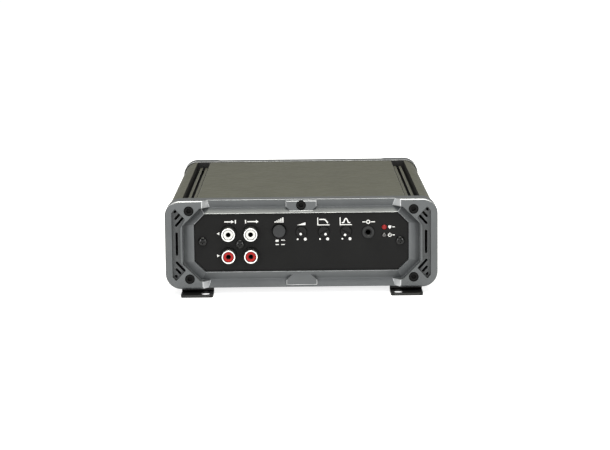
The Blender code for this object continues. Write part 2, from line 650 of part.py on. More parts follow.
def terminal_block(name, x, z, size, wires):
    """A moulded block through the rear plate with square wire entries and a clamp screw over each."""
    width, height = size
    block = box(name, (-width / 2, -height / 2, BLOCK_BACK), (width / 2, height / 2, BLOCK_FRONT))
    entry_floor = -WIRE_DEPTH - LIP_DEPTH
    for i, (offset, side) in enumerate(wires):
        half = side / 2
        corner = (offset - half, -half - WIRE_DROP, entry_floor)
        cut(block, box(f"{name}_wire_cutter_{i}", corner, (offset + half, half - WIRE_DROP, 1.0), cutters))
        well = plate(f"{name}_well_cutter_{i}", [circle(offset, CLAMP_RISE, CLAMP_RADIUS + GAP)],
                     CLAMP_BACK - GAP, 1.0, cutters)
        cut(block, well)
    finish(on_end(settle(block), "rear", x, z), "black_plastic")
    names = [f"{name}_screw_{i + 1}" for i in range(len(wires))]
    screw = cylinder("clamp_screw", CLAMP_RADIUS, CLAMP_BACK, -LIP_DEPTH)
    cut(screw, cylinder(name + "_hex_cutter", CLAMP_SOCKET, -5.0, 0.0, 6, cutters))
    for obj, (offset, _) in zip(copies(settle(screw), names, "black_steel"), wires):
        on_end(obj, "rear", x + offset, z + CLAMP_RISE)


def fuses():
    """Two blade fuses standing in slots of the rear plate."""
    width, thickness = FUSE_SIZE
    window, window_height, window_depth = FUSE_WINDOW
    fuse = box("fuse", (-width / 2, -thickness / 2, FUSE_BACK), (width / 2, thickness / 2, FUSE_FRONT))
    corner = (-window / 2, -window_height / 2, FUSE_FRONT - window_depth)
    cut(fuse, box("fuse_window_cutter", corner, (window / 2, window_height / 2, 2.0), cutters))
    for obj, z in zip(copies(settle(fuse), ("fuse_1", "fuse_2"), "red_plastic"), FUSE_Z):
        on_end(obj, "rear", FUSE_X, z)


def rear_panel():
    holes = []
    for x, z, (width, height) in (
        (POWER_X, POWER_Z, POWER_SIZE), (SPEAKER_X, SPEAKER_Z, SPEAKER_SIZE),
        (FUSE_X, FUSE_Z[0], FUSE_SIZE), (FUSE_X, FUSE_Z[1], FUSE_SIZE),
    ):
        x0, x1 = x - width / 2 - GAP, x + width / 2 + GAP
        z0, z1 = z - height / 2 - GAP, z + height / 2 + GAP
        holes.append([(x0, z0), (x1, z0), (x1, z1), (x0, z1)])
    face_plate("rear_terminal_panel", "rear", holes)


def foot_plate(name):
    """The front right foot: a slotted tab on the surface, a joggle, and a flange under the body."""
    x0, x1 = FOOT_X
    n0, n1 = FOOT_NECK_X
    front, back = -FOOT_REACH, FOOT_TAB_BACK
    riser_back = back - FOOT_STEEL
    flange_top = BODY_LIFT - GAP
    r = FOOT_CORNER
    tab = [(x0, back), (x1, back)]
    tab += list(arc((x1 - r, front + r), r, 0, -90, 4)) + list(arc((x0 + r, front + r), r, -90, -180, 4))
    middle = (front + back) / 2
    half = (FOOT_SLOT_LENGTH - FOOT_SLOT_WIDTH) / 2
    slot = slot_outline((FOOT_SLOT_X, middle - half), (FOOT_SLOT_X, middle + half), FOOT_SLOT_WIDTH, 6)
    foot = plate(name, [tab, slot], 0.0, FOOT_STEEL)
    riser = box(name + "_riser", (n0, riser_back, 0.4), (n1, back, flange_top))
    hole = circle(FOOT_SCREW_X, FOOT_SCREW_DEPTH, SCREW_SHANK + GAP, FINE)
    flange = [(n0, riser_back), (n1, riser_back), (n1, FOOT_FLANGE_BACK), (n0, FOOT_FLANGE_BACK)]
    join(foot, riser, plate(name + "_flange", [flange, hole], flange_top - FOOT_STEEL, flange_top))
    return settle(foot)


def mounting_feet():
    """Four feet of formed steel, each held by a pan screw that comes up through its flange."""
    ends = [(end, side) for end in ("front", "rear") for side in ("right", "left")]
    screws = copies(
        pan_screw("foot_screw", FOOT_SCREW_HEAD, FOOT_SCREW_LENGTH, SCREW_SHANK),
        [f"foot_screw_{end}_{side}" for end, side in ends], "black_steel",
    )
    for screw, (end, side) in zip(screws, ends):
        flip_x, flip_y = (-1 if side == "left" else 1), (-1 if end == "rear" else 1)
        foot = foot_plate(f"foot_{end}_{side}")
        for vertex in foot.data.vertices:
            vertex.co.x *= flip_x
            vertex.co.y = flip_y * (vertex.co.y - BODY_LENGTH / 2 * MM)
        if flip_x * flip_y < 0:
            foot.data.flip_normals()
        finish(foot, "black_steel")
        screw.location = (
            flip_x * FOOT_SCREW_X * MM,
            flip_y * (FOOT_SCREW_DEPTH - BODY_LENGTH / 2) * MM,
            (BODY_LIFT - FOOT_STEEL - 2 * GAP) * MM,
        )
        screw.rotation_euler.x = math.pi


def electronics():
    """The two boards and the largest components that they carry."""
    top = BODY_LIFT + MAIN_BOARD_Z + BOARD_THICKNESS
    front = CONTROL_BOARD_DEPTH + BOARD_THICKNESS + GAP - BODY_LENGTH / 2
    low = (-MAIN_BOARD_HALF, front, top - BOARD_THICKNESS)
    finish(box("main_circuit_board", low, (MAIN_BOARD_HALF, MAIN_BOARD_REAR, top)), "circuit_board")
    x0, x1 = CONTROL_BOARD_X
    low = (x0, MAIN_BOARD_Z + BOARD_THICKNESS + GAP, -CONTROL_BOARD_DEPTH - BOARD_THICKNESS)
    control = box("control_circuit_board", low, (x1, CONTROL_BOARD_TOP, -CONTROL_BOARD_DEPTH))
    finish(on_end(control, "front"), "circuit_board")
    for name, (x, y), radius, thickness in COILS:
        bpy.ops.mesh.primitive_torus_add(
            major_segments=20, minor_segments=8, major_radius=radius * MM, minor_radius=thickness * MM,
            location=(x * MM, y * MM, (top + GAP + thickness) * MM),
        )
        ring = bpy.context.object
        ring.name = name
        for holder in list(ring.users_collection):
            holder.objects.unlink(ring)
        parts.objects.link(ring)
        finish(ring, "copper_winding")
    r, height, edge = CAPACITOR_RADIUS, CAPACITOR_HEIGHT, CAPACITOR_CHAMFER
    can = turned("filter_capacitor", [(0, height), (r - edge, height), (r, height - edge), (r, 0), (0, 0)])
    settle(can)
    x, y = CAPACITOR_PLACE
    can.location = (x * MM, y * MM, (top + GAP) * MM)
    finish(can, "capacitor_sleeve")


heatsink()
bottom_cover()
for end_name in ("front", "rear"):
    end_frame(end_name + "_end_frame", end_name)
frame_screws()
front_panel()
panel_screws()
rca_sockets()
level_switch()
trim_pots()
remote_socket()
indicator_lights()
rear_panel()
terminal_block("power_terminal", POWER_X, POWER_Z, POWER_SIZE, POWER_WIRES)
terminal_block("speaker_terminal", SPEAKER_X, SPEAKER_Z, SPEAKER_SIZE, SPEAKER_WIRES)
fuses()
mounting_feet()
electronics()
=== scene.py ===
"""Looks for the car amplifier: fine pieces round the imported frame, soft studio light and the camera.

Lengths are millimetres unless a name says otherwise. Each end of the body is drawn in its own face plane:
x to the right, y up from the body's underside, and height z outwards from the end's foremost face.
"""

from math import atan2, copysign, cos, degrees, pi, radians, sin, tan

import bmesh
import bpy
from mathutils import Euler, Matrix, Vector


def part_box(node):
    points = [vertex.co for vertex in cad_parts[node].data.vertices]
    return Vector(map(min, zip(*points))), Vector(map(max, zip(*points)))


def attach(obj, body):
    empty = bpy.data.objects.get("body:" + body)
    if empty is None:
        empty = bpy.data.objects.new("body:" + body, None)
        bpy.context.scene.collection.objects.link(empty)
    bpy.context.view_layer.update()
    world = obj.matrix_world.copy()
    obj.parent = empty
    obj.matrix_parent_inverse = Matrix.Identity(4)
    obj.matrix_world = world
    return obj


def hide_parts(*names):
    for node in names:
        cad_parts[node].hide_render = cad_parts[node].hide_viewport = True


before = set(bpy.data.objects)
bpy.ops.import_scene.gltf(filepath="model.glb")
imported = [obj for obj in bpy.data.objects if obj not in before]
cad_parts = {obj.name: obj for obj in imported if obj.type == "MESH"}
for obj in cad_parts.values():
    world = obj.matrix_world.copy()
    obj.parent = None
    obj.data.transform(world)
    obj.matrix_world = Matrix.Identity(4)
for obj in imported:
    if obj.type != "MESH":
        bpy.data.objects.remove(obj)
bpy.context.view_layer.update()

MM = 0.001
GAP = 0.3  # between neighbouring pieces
FRONT_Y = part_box("front_end_frame")[0].y / MM
REAR_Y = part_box("rear_end_frame")[1].y / MM
BASE_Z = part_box("front_end_frame")[0].z / MM
MID_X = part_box("front_end_frame")[1].x / MM
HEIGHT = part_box("front_end_frame")[1].z / MM - BASE_Z
MID_Y = HEIGHT / 2
FRAME_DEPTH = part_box("front_end_frame")[1].y / MM - FRONT_Y
PLATE_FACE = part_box("front_control_panel")[0].y / MM - FRONT_Y
PLATE_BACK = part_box("front_control_panel")[1].y / MM - FRONT_Y

# The end frame's face, as the CAD has it
CORNER_RADIUS, EDGE_ROUND = 9.5, 1.2
RIM_SETBACK, VALLEY_DEPTH, LIP_DEPTH, LEDGE_DEPTH, RECESS_DEPTH = 4.0, 6.2, 2.5, 5.5, 4.0
RAMP_X = (56.4, 61.0)
RING_HALF, RING_Y, RING_CHAMFER = 73.2, (4.8, 50.2), 10.7
OPENING_HALF, OPENING_Y, OPENING_CHAMFER = 66.2, (10.3, 46.5), 6.6
LEDGE_HALF, LEDGE_Y, LEDGE_CHAMFER = 57.5, (12.3, 44.5), 5.0
TAB_BASE, TAB_TIP, TAB_RISE = 9.5, 4.5, 4.4
TAB_TOP, TAB_LOW = 45.8, 9.1
VENT_MIDDLE, VENT_SLOT = MID_Y + 0.2, 1.5
RECESS_OUTER, RECESS_REACH = 79.7, 22.7
# Colours given to some of the frame's faces: painted highlight, painted shade and painted light, and the
# ramps' bright metal
FRAME_LIGHT_AND_SHADE = ("ramp_and_edge_painted_highlight", "hole_and_back_painted_shade", "ring_side_painted_light", "recess_floor_painted_shade", "groove_painted_shade")
ROOT_INSET = 0.4  # the ring's root stands this far inside the valley's outer wall

# Shading
EDGE_BREAK = 0.3
SMOOTH = 34  # faces that meet at less than this many degrees blend into each other
WIDE = 6.0  # a face this many times its neighbours' area is shaded flat
EDGE_STRIP = 0.26  # a face narrower than this is part of a rounded edge
EDGE_MARK = "edge_mark"

# The heatsink's section, as the CAD has it
SHELL_RADIUS, FIN_TOP, GROOVE_FLOOR = 9.2, 50.5, 46.6
GROOVES = ((71.9, 73.8), (68.3, 70.2), (64.7, 66.6))  # inner and outer side of each, from the outermost
CHANNEL_HALF, CHANNEL_LOW = 5.0, 47.4  # the rib that takes the top centre screw
CAVITY_HALF, CAVITY_TOP, CAVITY_SIDE_TOP, CAVITY_LOW = 79.5, 50.0, 42.8, 10.5
GROOVE_INNER, BOSS_INNER = 62.5, 65.5
SIDE_GROOVES, SIDE_GROOVE_DEPTH, SIDE_GROOVE_WIDTH, SIDE_GROOVE_FLANK = (16.0, 26.0, 36.0), 1.2, 2.8, 0.8

# Fasteners, as radii and heights
SCREW_HEAD, SCREW_SHANK, HEAD_HEIGHT = 2.75, 1.5, 3.0
SCREW_SEAT, SEAT_DEPTH, SCREW_BORE = 3.05, 3.2, 1.8
PAN_HEIGHT, PAN_RIM = 1.6, 0.45

# Holes in the control plate, as radii
SCREW_HOLE, SOCKET_HOLE, BUTTON_HOLE, ROTOR_HOLE, REMOTE_HOLE, LIGHT_HOLE = 1.5, 5.0, 4.45, 3.45, 3.85, 1.6

# Controls, as radii and heights
HOUSING_FACE = -5.5
JACK_SHELL, JACK_WALL, JACK_INSERT, JACK_HOLE, JACK_BACK = 4.15, 0.8, 3.05, 1.55, -11.7
JACK_COLLAR, JACK_BORE = 4.9, 4.45
BUTTON_RADIUS, ROTOR_RADIUS, LIGHT_RADIUS, LIGHT_BACK = 3.85, 3.3, 1.5, -9.0
DRIVER_SLOT = (5.2, 0.9, 0.9)  # length, width and depth
POT_POINTERS = {  # the slot's angle and the dot's place on each rotor
    "gain_pot_rotor": (-40.0, (-0.4, -1.2)),
    "crossover_pot_rotor": (31.0, (1.1, -1.45)),
    "boost_pot_rotor": (-27.0, (-0.65, -2.0)),
}
POINTER_DOT = 0.75
REMOTE_BARREL, REMOTE_MOUTH, REMOTE_BORE, REMOTE_BACK = 3.75, 2.35, 1.85, -17.0
INK_LOW, INK_HIGH = -0.01, 0.03  # how deep and how proud the printed ink is
LINE, CURVE_LINE = 0.55, 0.7  # widths of printed lines

# Terminals, as radii and heights
POWER_WIRES = ((-15.0, 8.0), (0.0, 5.0), (15.0, 8.0))  # offset and side of each square entry
SPEAKER_WIRES = ((-7.5, 6.6), (7.5, 6.6))
WIRE_DROP, WIRE_END = 2.5, -18.5
CLAMP_RISE, CLAMP_HEAD, CLAMP_WELL, CLAMP_TOP, CLAMP_END = 5.6, 1.9, 2.2, -2.5, -8.7
CLAMP_CAGE, CAGE_WALL = (-16.0, -5.0), 0.6

# Feet
FOOT_STEEL, FOOT_BEND, FOOT_TAB, FOOT_CORNER = 1.6, 0.9, 17.0, 2.5
FOOT_NECK = (62.4, 74.4)
FOOT_SLOT, FOOT_SLOT_INSET = (12.0, 4.8), 4.9  # length and width, and its distance from the inner edge
FOOT_SCREW, FOOT_SCREW_DEPTH = 68.4, 22.0

# Camera, light and floor
CAMERA_PLACE = (0.0006, -1.2294, 0.2217)
CAMERA_TURN = (9.009, 0.087, -0.612)  # pitch down, yaw right and roll, in degrees
CAMERA_LENS = 109.3
WORLD_LIGHT = 0.35
FLOOR_GLOW = 0.8
NEUTRAL, WARM = (1.0, 1.0, 1.0), (1.0, 0.99, 0.89)
LIGHT_TARGET = (0.0, 0.0, 0.03)
SOFTBOXES = (  # name, place, size, power in watts and colour
    ("key_softbox", (0.0, -1.3, 1.7), (1.6, 0.8), 12.0, NEUTRAL),
    ("top_softbox", (0.0, -0.45, 2.1), (1.8, 1.3), 54.0, WARM),
    ("fill_softbox", (0.0, -2.0, 0.4), (1.8, 0.7), 5.0, NEUTRAL),
    ("left_softbox", (-1.0, -1.6, 0.35), (0.3, 1.0), 10.0, NEUTRAL),
    ("right_softbox", (1.0, -1.6, 0.35), (0.3, 1.0), 9.0, NEUTRAL),
)


# ---- materials

class Nodes:
    """A material's node tree with short calls to add and link its nodes."""

    def __init__(self, name):
        self.material = bpy.data.materials.new(name)
        self.material.use_nodes = True
        self.tree = self.material.node_tree
        self.shader = self.tree.nodes["Principled BSDF"]
        self.coordinates = self.tree.nodes.new("ShaderNodeTexCoord").outputs["Object"]

    def link(self, output, target):
        self.tree.links.new(output, target)

    def noise(self, scale, detail=3.0, stretch=None):
        node = self.tree.nodes.new("ShaderNodeTexNoise")
        node.inputs["Scale"].default_value = scale
        node.inputs["Detail"].default_value = detail
        source = self.coordinates
        if stretch:
            mapping = self.tree.nodes.new("ShaderNodeMapping")
            mapping.inputs["Scale"].default_value = stretch
            self.link(source, mapping.inputs["Vector"])
            source = mapping.outputs["Vector"]
        self.link(source, node.inputs["Vector"])
        return node.outputs["Fac"]

    def spread(self, value, low, high, start=0.3, end=0.7):
        node = self.tree.nodes.new("ShaderNodeMapRange")
        for key, number in (("From Min", start), ("From Max", end), ("To Min", low), ("To Max", high)):
            node.inputs[key].default_value = number
        self.link(value, node.inputs["Value"])
        return node.outputs["Result"]

    def blend(self, factor, first, second):
        node = self.tree.nodes.new("ShaderNodeMix")
        node.data_type = "RGBA"
        self.link(factor, node.inputs["Factor"])
        for slot, colour in ((6, first), (7, second)):
            if isinstance(colour, tuple):
                node.inputs[slot].default_value = (*colour, 1.0)
            else:
                self.link(colour, node.inputs[slot])
        return node.outputs[2]

    def bump(self, *layers):
        """Each layer is (value, distance in metres)."""
        normal = None
        for value, distance in layers:
            node = self.tree.nodes.new("ShaderNodeBump")
            node.inputs["Distance"].default_value = distance
            self.link(value, node.inputs["Height"])
            if normal:
                self.link(normal, node.inputs["Normal"])
            normal = node.outputs["Normal"]
        self.link(normal, self.shader.inputs["Normal"])

    def edges(self):
        """How worn each place is: only the mesh's marked edges are, and unevenly."""
        mark = self.tree.nodes.new("ShaderNodeAttribute")
        mark.attribute_name = EDGE_MARK
        patchy = self.tree.nodes.new("ShaderNodeMath")
        patchy.operation = "MULTIPLY"
        self.link(mark.outputs["Fac"], patchy.inputs[0])
        self.link(self.spread(self.noise(180.0, 4.0), 0.35, 1.0), patchy.inputs[1])
        return patchy.outputs["Value"]

    def set(self, **values):
        for key, value in values.items():
            self.shader.inputs[key.replace("_", " ")].default_value = value


def scaled(colour, factor):
    return tuple(channel * factor for channel in colour)


def surface(name, colour, roughness, grain, depth, metallic=0.0, variation=0.1, stretch=None,
            wear=None, specular=0.5, **extra):
    """A finish with mottled colour, uneven gloss and a fine grain, its size and depth in millimetres."""
    nodes = Nodes(name)
    mottle = nodes.spread(nodes.noise(60.0, 4.0, stretch), 0.0, 1.0)
    tone = nodes.blend(mottle, scaled(colour, 1 - variation), scaled(colour, 1 + variation))
    fine = nodes.noise(1.0 / (grain * MM), 2.0, stretch)
    tone = nodes.blend(nodes.spread(fine, 0.0, variation), tone, scaled(colour, 1.5))
    if wear:
        tone = nodes.blend(nodes.edges(), tone, wear)
    nodes.link(tone, nodes.shader.inputs["Base Color"])
    gloss = nodes.spread(nodes.noise(240.0, 3.0, stretch), roughness - 0.05, roughness + 0.07)
    nodes.link(gloss, nodes.shader.inputs["Roughness"])
    nodes.bump((fine, depth * MM), (nodes.noise(35.0, 2.0), 0.02 * MM))
    nodes.set(Metallic=metallic, Specular_IOR_Level=specular, **extra)
    return nodes.material


WORN = (0.66, 0.67, 0.68)
LOOKS = {  # colour, roughness, size and depth of the grain, and the rest of surface's settings
    "cast_frame": ((0.074, 0.079, 0.082), 0.40, 0.22, 0.02, dict(metallic=0.2, variation=0.07, wear=WORN,
        specular=0.45)),
    # painted light: a lighter copy of the cast frame for the ring's side strips, which the corner blocks
    # shade
    "ring_side_painted_light": ((0.115, 0.121, 0.125), 0.42, 0.22, 0.02, dict(metallic=0.2, variation=0.07, wear=WORN,
        specular=0.4)),
    # painted shade: the vent recesses' floors, darker than the cast frame
    "recess_floor_painted_shade": ((0.056, 0.060, 0.062), 0.5, 0.22, 0.02, dict(variation=0.07)),
    # painted shade: near-black for the heatsink's grooves and the vent recesses' walls
    "groove_painted_shade": ((0.012, 0.012, 0.011), 0.5, 0.2, 0.01, dict()),
    # bright metal for the ramp facets, partly a painted highlight; painted highlight along the frame's top
    # edge
    "ramp_and_edge_painted_highlight": ((0.50, 0.51, 0.52), 0.32, 0.18, 0.02, dict(metallic=0.6)),
    "anodised_shell": ((0.077, 0.077, 0.059), 0.5, 0.2, 0.012, dict(metallic=0.1, variation=0.08,
        stretch=(1.0, 0.25, 1.0), wear=(0.2, 0.2, 0.18), specular=0.22)),
    "control_plate": ((0.0085, 0.0085, 0.0085), 0.6, 0.16, 0.015, dict(specular=0.08)),
    "black_steel": ((0.004, 0.004, 0.004), 0.34, 0.3, 0.012, dict(variation=0.2, wear=(0.03, 0.03, 0.03),
        specular=0.2)),
    "black_oxide": ((0.003, 0.003, 0.003), 0.45, 0.3, 0.01, dict(variation=0.2, specular=0.1)),
    "black_gloss": ((0.002, 0.002, 0.002), 0.1, 0.4, 0.002, dict(variation=0.2, specular=0.3)),
    "bright_metal": ((0.80, 0.80, 0.79), 0.2, 0.4, 0.004, dict(metallic=0.9, variation=0.05)),
    "black_plastic": ((0.005, 0.005, 0.005), 0.4, 0.25, 0.012, dict(variation=0.15, specular=0.16)),
    "grey_plastic": ((0.023, 0.024, 0.025), 0.42, 0.25, 0.01, dict(specular=0.2)),
    "dark_grey": ((0.013, 0.0135, 0.014), 0.42, 0.25, 0.01, dict(specular=0.25)),
    "white_plastic": ((0.56, 0.56, 0.53), 0.35, 0.5, 0.004, dict(variation=0.03)),
    "red_plastic": ((0.27, 0.009, 0.008), 0.4, 0.5, 0.004, dict(variation=0.06, specular=0.18)),
    "red_lens": ((0.17, 0.006, 0.006), 0.3, 0.6, 0.002, dict(variation=0.05, specular=0.25,
        Emission_Color=(1.0, 0.02, 0.02, 1.0), Emission_Strength=0.04)),
    "dark_lens": ((0.008, 0.005, 0.005), 0.1, 0.6, 0.002, dict(variation=0.05, Coat_Weight=1.0)),
    "fuse_plastic": ((0.80, 0.20, 0.01), 0.2, 0.6, 0.003, dict(variation=0.04, Coat_Weight=0.6)),
    "circuit_board": ((0.006, 0.04, 0.016), 0.35, 0.5, 0.01, dict(variation=0.3)),
    "copper_winding": ((0.50, 0.20, 0.06), 0.35, 0.6, 0.06, dict(metallic=0.8, variation=0.2)),
    "capacitor_sleeve": ((0.02, 0.03, 0.10), 0.25, 0.6, 0.004, dict()),
    "ink": ((0.62, 0.62, 0.60), 0.5, 0.1, 0.004, dict(variation=0.05)),
    # painted shade: black for the frame's back face and the liners in the sockets' holes
    "hole_and_back_painted_shade": ((0.004, 0.004, 0.004), 0.6, 0.3, 0.01, dict()),
}
FINISH = {name: surface(name, *numbers, **rest) for name, (*numbers, rest) in LOOKS.items()}


# ---- mesh building

def add(name, data):
    obj = bpy.data.objects.new(name, data)
    bpy.context.scene.collection.objects.link(obj)
    return obj


def from_bmesh(name, work):
    bmesh.ops.recalc_face_normals(work, faces=work.faces)
    mesh = bpy.data.meshes.new(name)
    work.to_mesh(mesh)
    work.free()
    return add(name, mesh)


def applied(obj, weld=1e-7):
    """The object with its modifiers, or its curve, turned into a plain welded mesh."""
    bpy.context.view_layer.update()
    mesh = bpy.data.meshes.new_from_object(obj.evaluated_get(bpy.context.evaluated_depsgraph_get()))
    work = bmesh.new()
    work.from_mesh(mesh)
    bmesh.ops.remove_doubles(work, verts=work.verts, dist=weld)
    bmesh.ops.recalc_face_normals(work, faces=work.faces)
    work.to_mesh(mesh)
    work.free()
    name, matrix = obj.name, obj.matrix_world.copy()
    bpy.data.objects.remove(obj)
    made = add(name, mesh)
    made.matrix_world = matrix
    return made


def arc(centre, radius, start, end, steps):
    angles = (radians(start + (end - start) * i / steps) for i in range(steps + 1))
    return [(centre[0] + radius * cos(a), centre[1] + radius * sin(a)) for a in angles]


def circle(x, y, radius, segments=48):
    return arc((x, y), radius, 0, 360 * (segments - 1) / segments, segments - 1)


def fillet(points, radius, steps=3, closed=True):
    """The outline with each corner rounded, by less where its sides are short."""
    made = []
    count = len(points)
    for i, point in enumerate(points):
        here = Vector(point)
        if not closed and i in (0, count - 1):
            made.append(tuple(here))
            continue
        before, after = Vector(points[i - 1]) - here, Vector(points[(i + 1) % count]) - here
        angle = before.angle(after, pi)
        if pi - angle < radians(12) or min(before.length, after.length) < 1e-4:
            made.append(tuple(here))
            continue
        reach = min(radius / tan(angle / 2), 0.45 * before.length, 0.45 * after.length)
        start, end = here + before.normalized() * reach, here + after.normalized() * reach
        for step in range(steps + 1):
            t = step / steps
            made.append(tuple(start * (1 - t) ** 2 + here * 2 * t * (1 - t) + end * t * t))
    return made


def rounded_rectangle(half_x, low, high, radius, steps=12):
    points = []
    centres = ((half_x - radius, high - radius), (radius - half_x, high - radius),
               (radius - half_x, low + radius), (half_x - radius, low + radius))
    for i, centre in enumerate(centres):
        points += arc(centre, radius, 90 * i, 90 * (i + 1), steps)
    return points


def octagon(half, span, chamfer, inset=0.0):
    low, high = span[0] + inset, span[1] - inset
    half -= inset
    return [
        (half, low + chamfer), (half, high - chamfer), (half - chamfer, high), (chamfer - half, high),
        (-half, high - chamfer), (-half, low + chamfer), (chamfer - half, low), (half - chamfer, low),
    ]


def slot_outline(start, end, width, steps=6):
    heading = degrees(atan2(end[1] - start[1], end[0] - start[0]))
    return arc(end, width / 2, heading - 90, heading + 90, steps) + arc(
        start, width / 2, heading + 90, heading + 270, steps
    )


def rectangle(x, y, width, height):
    return [(x - width / 2, y - height / 2), (x + width / 2, y - height / 2),
            (x + width / 2, y + height / 2), (x - width / 2, y + height / 2)]


def slab(name, outlines, low, high, rim=0.0):
    """A flat solid between two heights; outlines after the first are holes, and rim rounds every edge."""
    curve = bpy.data.curves.new(name, "CURVE")
    curve.dimensions = "2D"
    curve.fill_mode = "BOTH"
    curve.extrude = ((high - low) / 2 - rim) * MM
    curve.bevel_depth = rim * MM
    curve.bevel_resolution = 2
    curve.offset = -rim * MM
    for outline in outlines:
        spline = curve.splines.new("POLY")
        spline.points.add(len(outline) - 1)
        for point, (x, y) in zip(spline.points, outline):
            point.co = (x * MM, y * MM, 0.0, 1.0)
        spline.use_cyclic_u = True
    made = applied(add(name, curve), weld=1e-6)
    for vertex in made.data.vertices:
        vertex.co.z += (low + high) / 2 * MM
    return made


def skin(name, rings):
    work = bmesh.new()
    loops = [[work.verts.new(Vector(point) * MM) for point in ring] for ring in rings]
    work.faces.new(loops[0])
    work.faces.new(loops[-1])
    count = len(loops[0])
    for near, far in zip(loops, loops[1:]):
        for i in range(count):
            j = (i + 1) % count
            work.faces.new((near[i], near[j], far[j], far[i]))
    return from_bmesh(name, work)


def lathe(name, profile, segments=64, soften=0.25, closed=False):
    """Turns a profile of (radius, height) about local z. An open profile starts and ends on the axis."""
    points = fillet(profile, soften, 4, closed)
    work = bmesh.new()
    rings = []
    for radius, height in points:
        if radius < 1e-6:
            rings.append([work.verts.new((0, 0, height * MM))])
            continue
        angles = (2 * pi * i / segments for i in range(segments))
        rings.append([work.verts.new((radius * cos(a) * MM, radius * sin(a) * MM, height * MM))
                      for a in angles])
    pairs = list(zip(rings, rings[1:]))
    if closed:
        pairs.append((rings[-1], rings[0]))
    for upper, lower in pairs:
        for i in range(segments):
            j = (i + 1) % segments
            corners = [upper[i % len(upper)], upper[j % len(upper)],
                       lower[j % len(lower)], lower[i % len(lower)]]
            unique = list(dict.fromkeys(corners))
            if len(unique) > 2:
                work.faces.new(unique)
    return from_bmesh(name, work)


def block(name, low, high):
    work = bmesh.new()
    bmesh.ops.create_cube(work, size=1.0)
    low, high = Vector(low), Vector(high)
    bmesh.ops.scale(work, verts=work.verts, vec=(high - low) * MM)
    bmesh.ops.translate(work, verts=work.verts, vec=(low + high) / 2 * MM)
    return from_bmesh(name, work)


def boolean(obj, others, operation="DIFFERENCE"):
    """Cuts the other solids from the object, or joins them to it, and removes them."""
    for other in others:
        modifier = obj.modifiers.new("boolean", "BOOLEAN")
        modifier.operation = operation
        modifier.object = other
    made = applied(obj)
    for other in others:
        bpy.data.objects.remove(other)
    return made


def break_edges(obj, width=EDGE_BREAK, segments=3, angle=20):
    """Merges flat areas and rounds the sharp edges."""
    work = bmesh.new()
    work.from_mesh(obj.data)
    bmesh.ops.remove_doubles(work, verts=work.verts, dist=0.03 * MM)
    bmesh.ops.dissolve_limit(work, angle_limit=radians(0.5), verts=work.verts, edges=work.edges)
    work.to_mesh(obj.data)
    work.free()
    bevel = obj.modifiers.new("edge_break", "BEVEL")
    bevel.width = width * MM
    bevel.segments = segments
    bevel.limit_method = "ANGLE"
    bevel.angle_limit = radians(angle)
    bevel.use_clamp_overlap = False
    return applied(obj)


def outer_edge(face):
    """Whether this face is a thin strip along an edge that stands out."""
    length = max(edge.calc_length() for edge in face.edges)
    if length < 1.0 * MM or face.calc_area() > EDGE_STRIP * MM * length:
        return False
    middle = face.calc_center_median()
    around = [other for edge in face.edges for other in edge.link_faces if other is not face]
    turned = any(4 < degrees(other.normal.angle(face.normal, 0.0)) < 50 for other in around)
    return turned and all((other.calc_center_median() - middle).dot(face.normal) < 1e-7 for other in around)


def crisp_normals(mesh):
    """Shades wide flat faces flat, and lets the rounded edges between them blend into them."""
    work = bmesh.new()
    work.from_mesh(mesh)
    near, level = cos(radians(SMOOTH)), cos(radians(0.8))
    areas = [face.calc_area() for face in work.faces]

    def curved(face):
        around = (other for edge in face.edges for other in edge.link_faces if other is not face)
        return any(near < face.normal.dot(other.normal) < level
                   and areas[face.index] < WIDE * areas[other.index] for other in around)

    flat = [not curved(face) for face in work.faces]
    normals = []
    for face in work.faces:
        for corner in face.loops:
            if flat[face.index]:
                normals.append(face.normal.copy())
                continue
            around = [other for other in corner.vert.link_faces if other.normal.dot(face.normal) > near]
            wide = [other for other in around if flat[other.index]] or around
            total = sum((other.normal * areas[other.index] for other in wide), Vector())
            normals.append(total.normalized() if total.length else face.normal.copy())
    marks = [float(outer_edge(face)) for face in work.faces]
    work.free()
    mesh.shade_smooth()
    mesh.normals_split_custom_set(normals)
    mesh.attributes.new(EDGE_MARK, "FLOAT", "FACE").data.foreach_set("value", marks)


def put(obj, slot, body="chassis", replaces=(), end=None, x=0.0, y=0.0, height=0.0, finish=None):
    if end:
        side = 1 if end == "front" else -1
        face = FRONT_Y if end == "front" else REAR_Y
        obj.location = (side * x * MM, (face - side * height) * MM, (BASE_Z + y) * MM)
        obj.rotation_euler = (radians(90), 0.0, 0.0 if side == 1 else radians(180))
    crisp_normals(obj.data)
    obj.data.materials.clear()
    obj.data.materials.append(FINISH[finish or slot])
    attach(obj, body)
    if replaces:
        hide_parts(*replaces)
    return obj


def spot(node):
    """The node's middle in its end's face plane, and which end it is on."""
    low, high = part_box(node)
    middle = (low + high) / 2 / MM
    if middle.y < 0:
        return middle.x, middle.z - BASE_Z, "front"
    return -middle.x, middle.z - BASE_Z, "rear"


def depth_of(node):
    low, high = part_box(node)
    return (high.y - low.y) / MM


def front_of(node):
    """How far the node's foremost point stands out from its end's face plane."""
    low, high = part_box(node)
    return FRONT_Y - low.y / MM if low.y + high.y < 0 else high.y / MM - REAR_Y


# ---- camera, light and floor

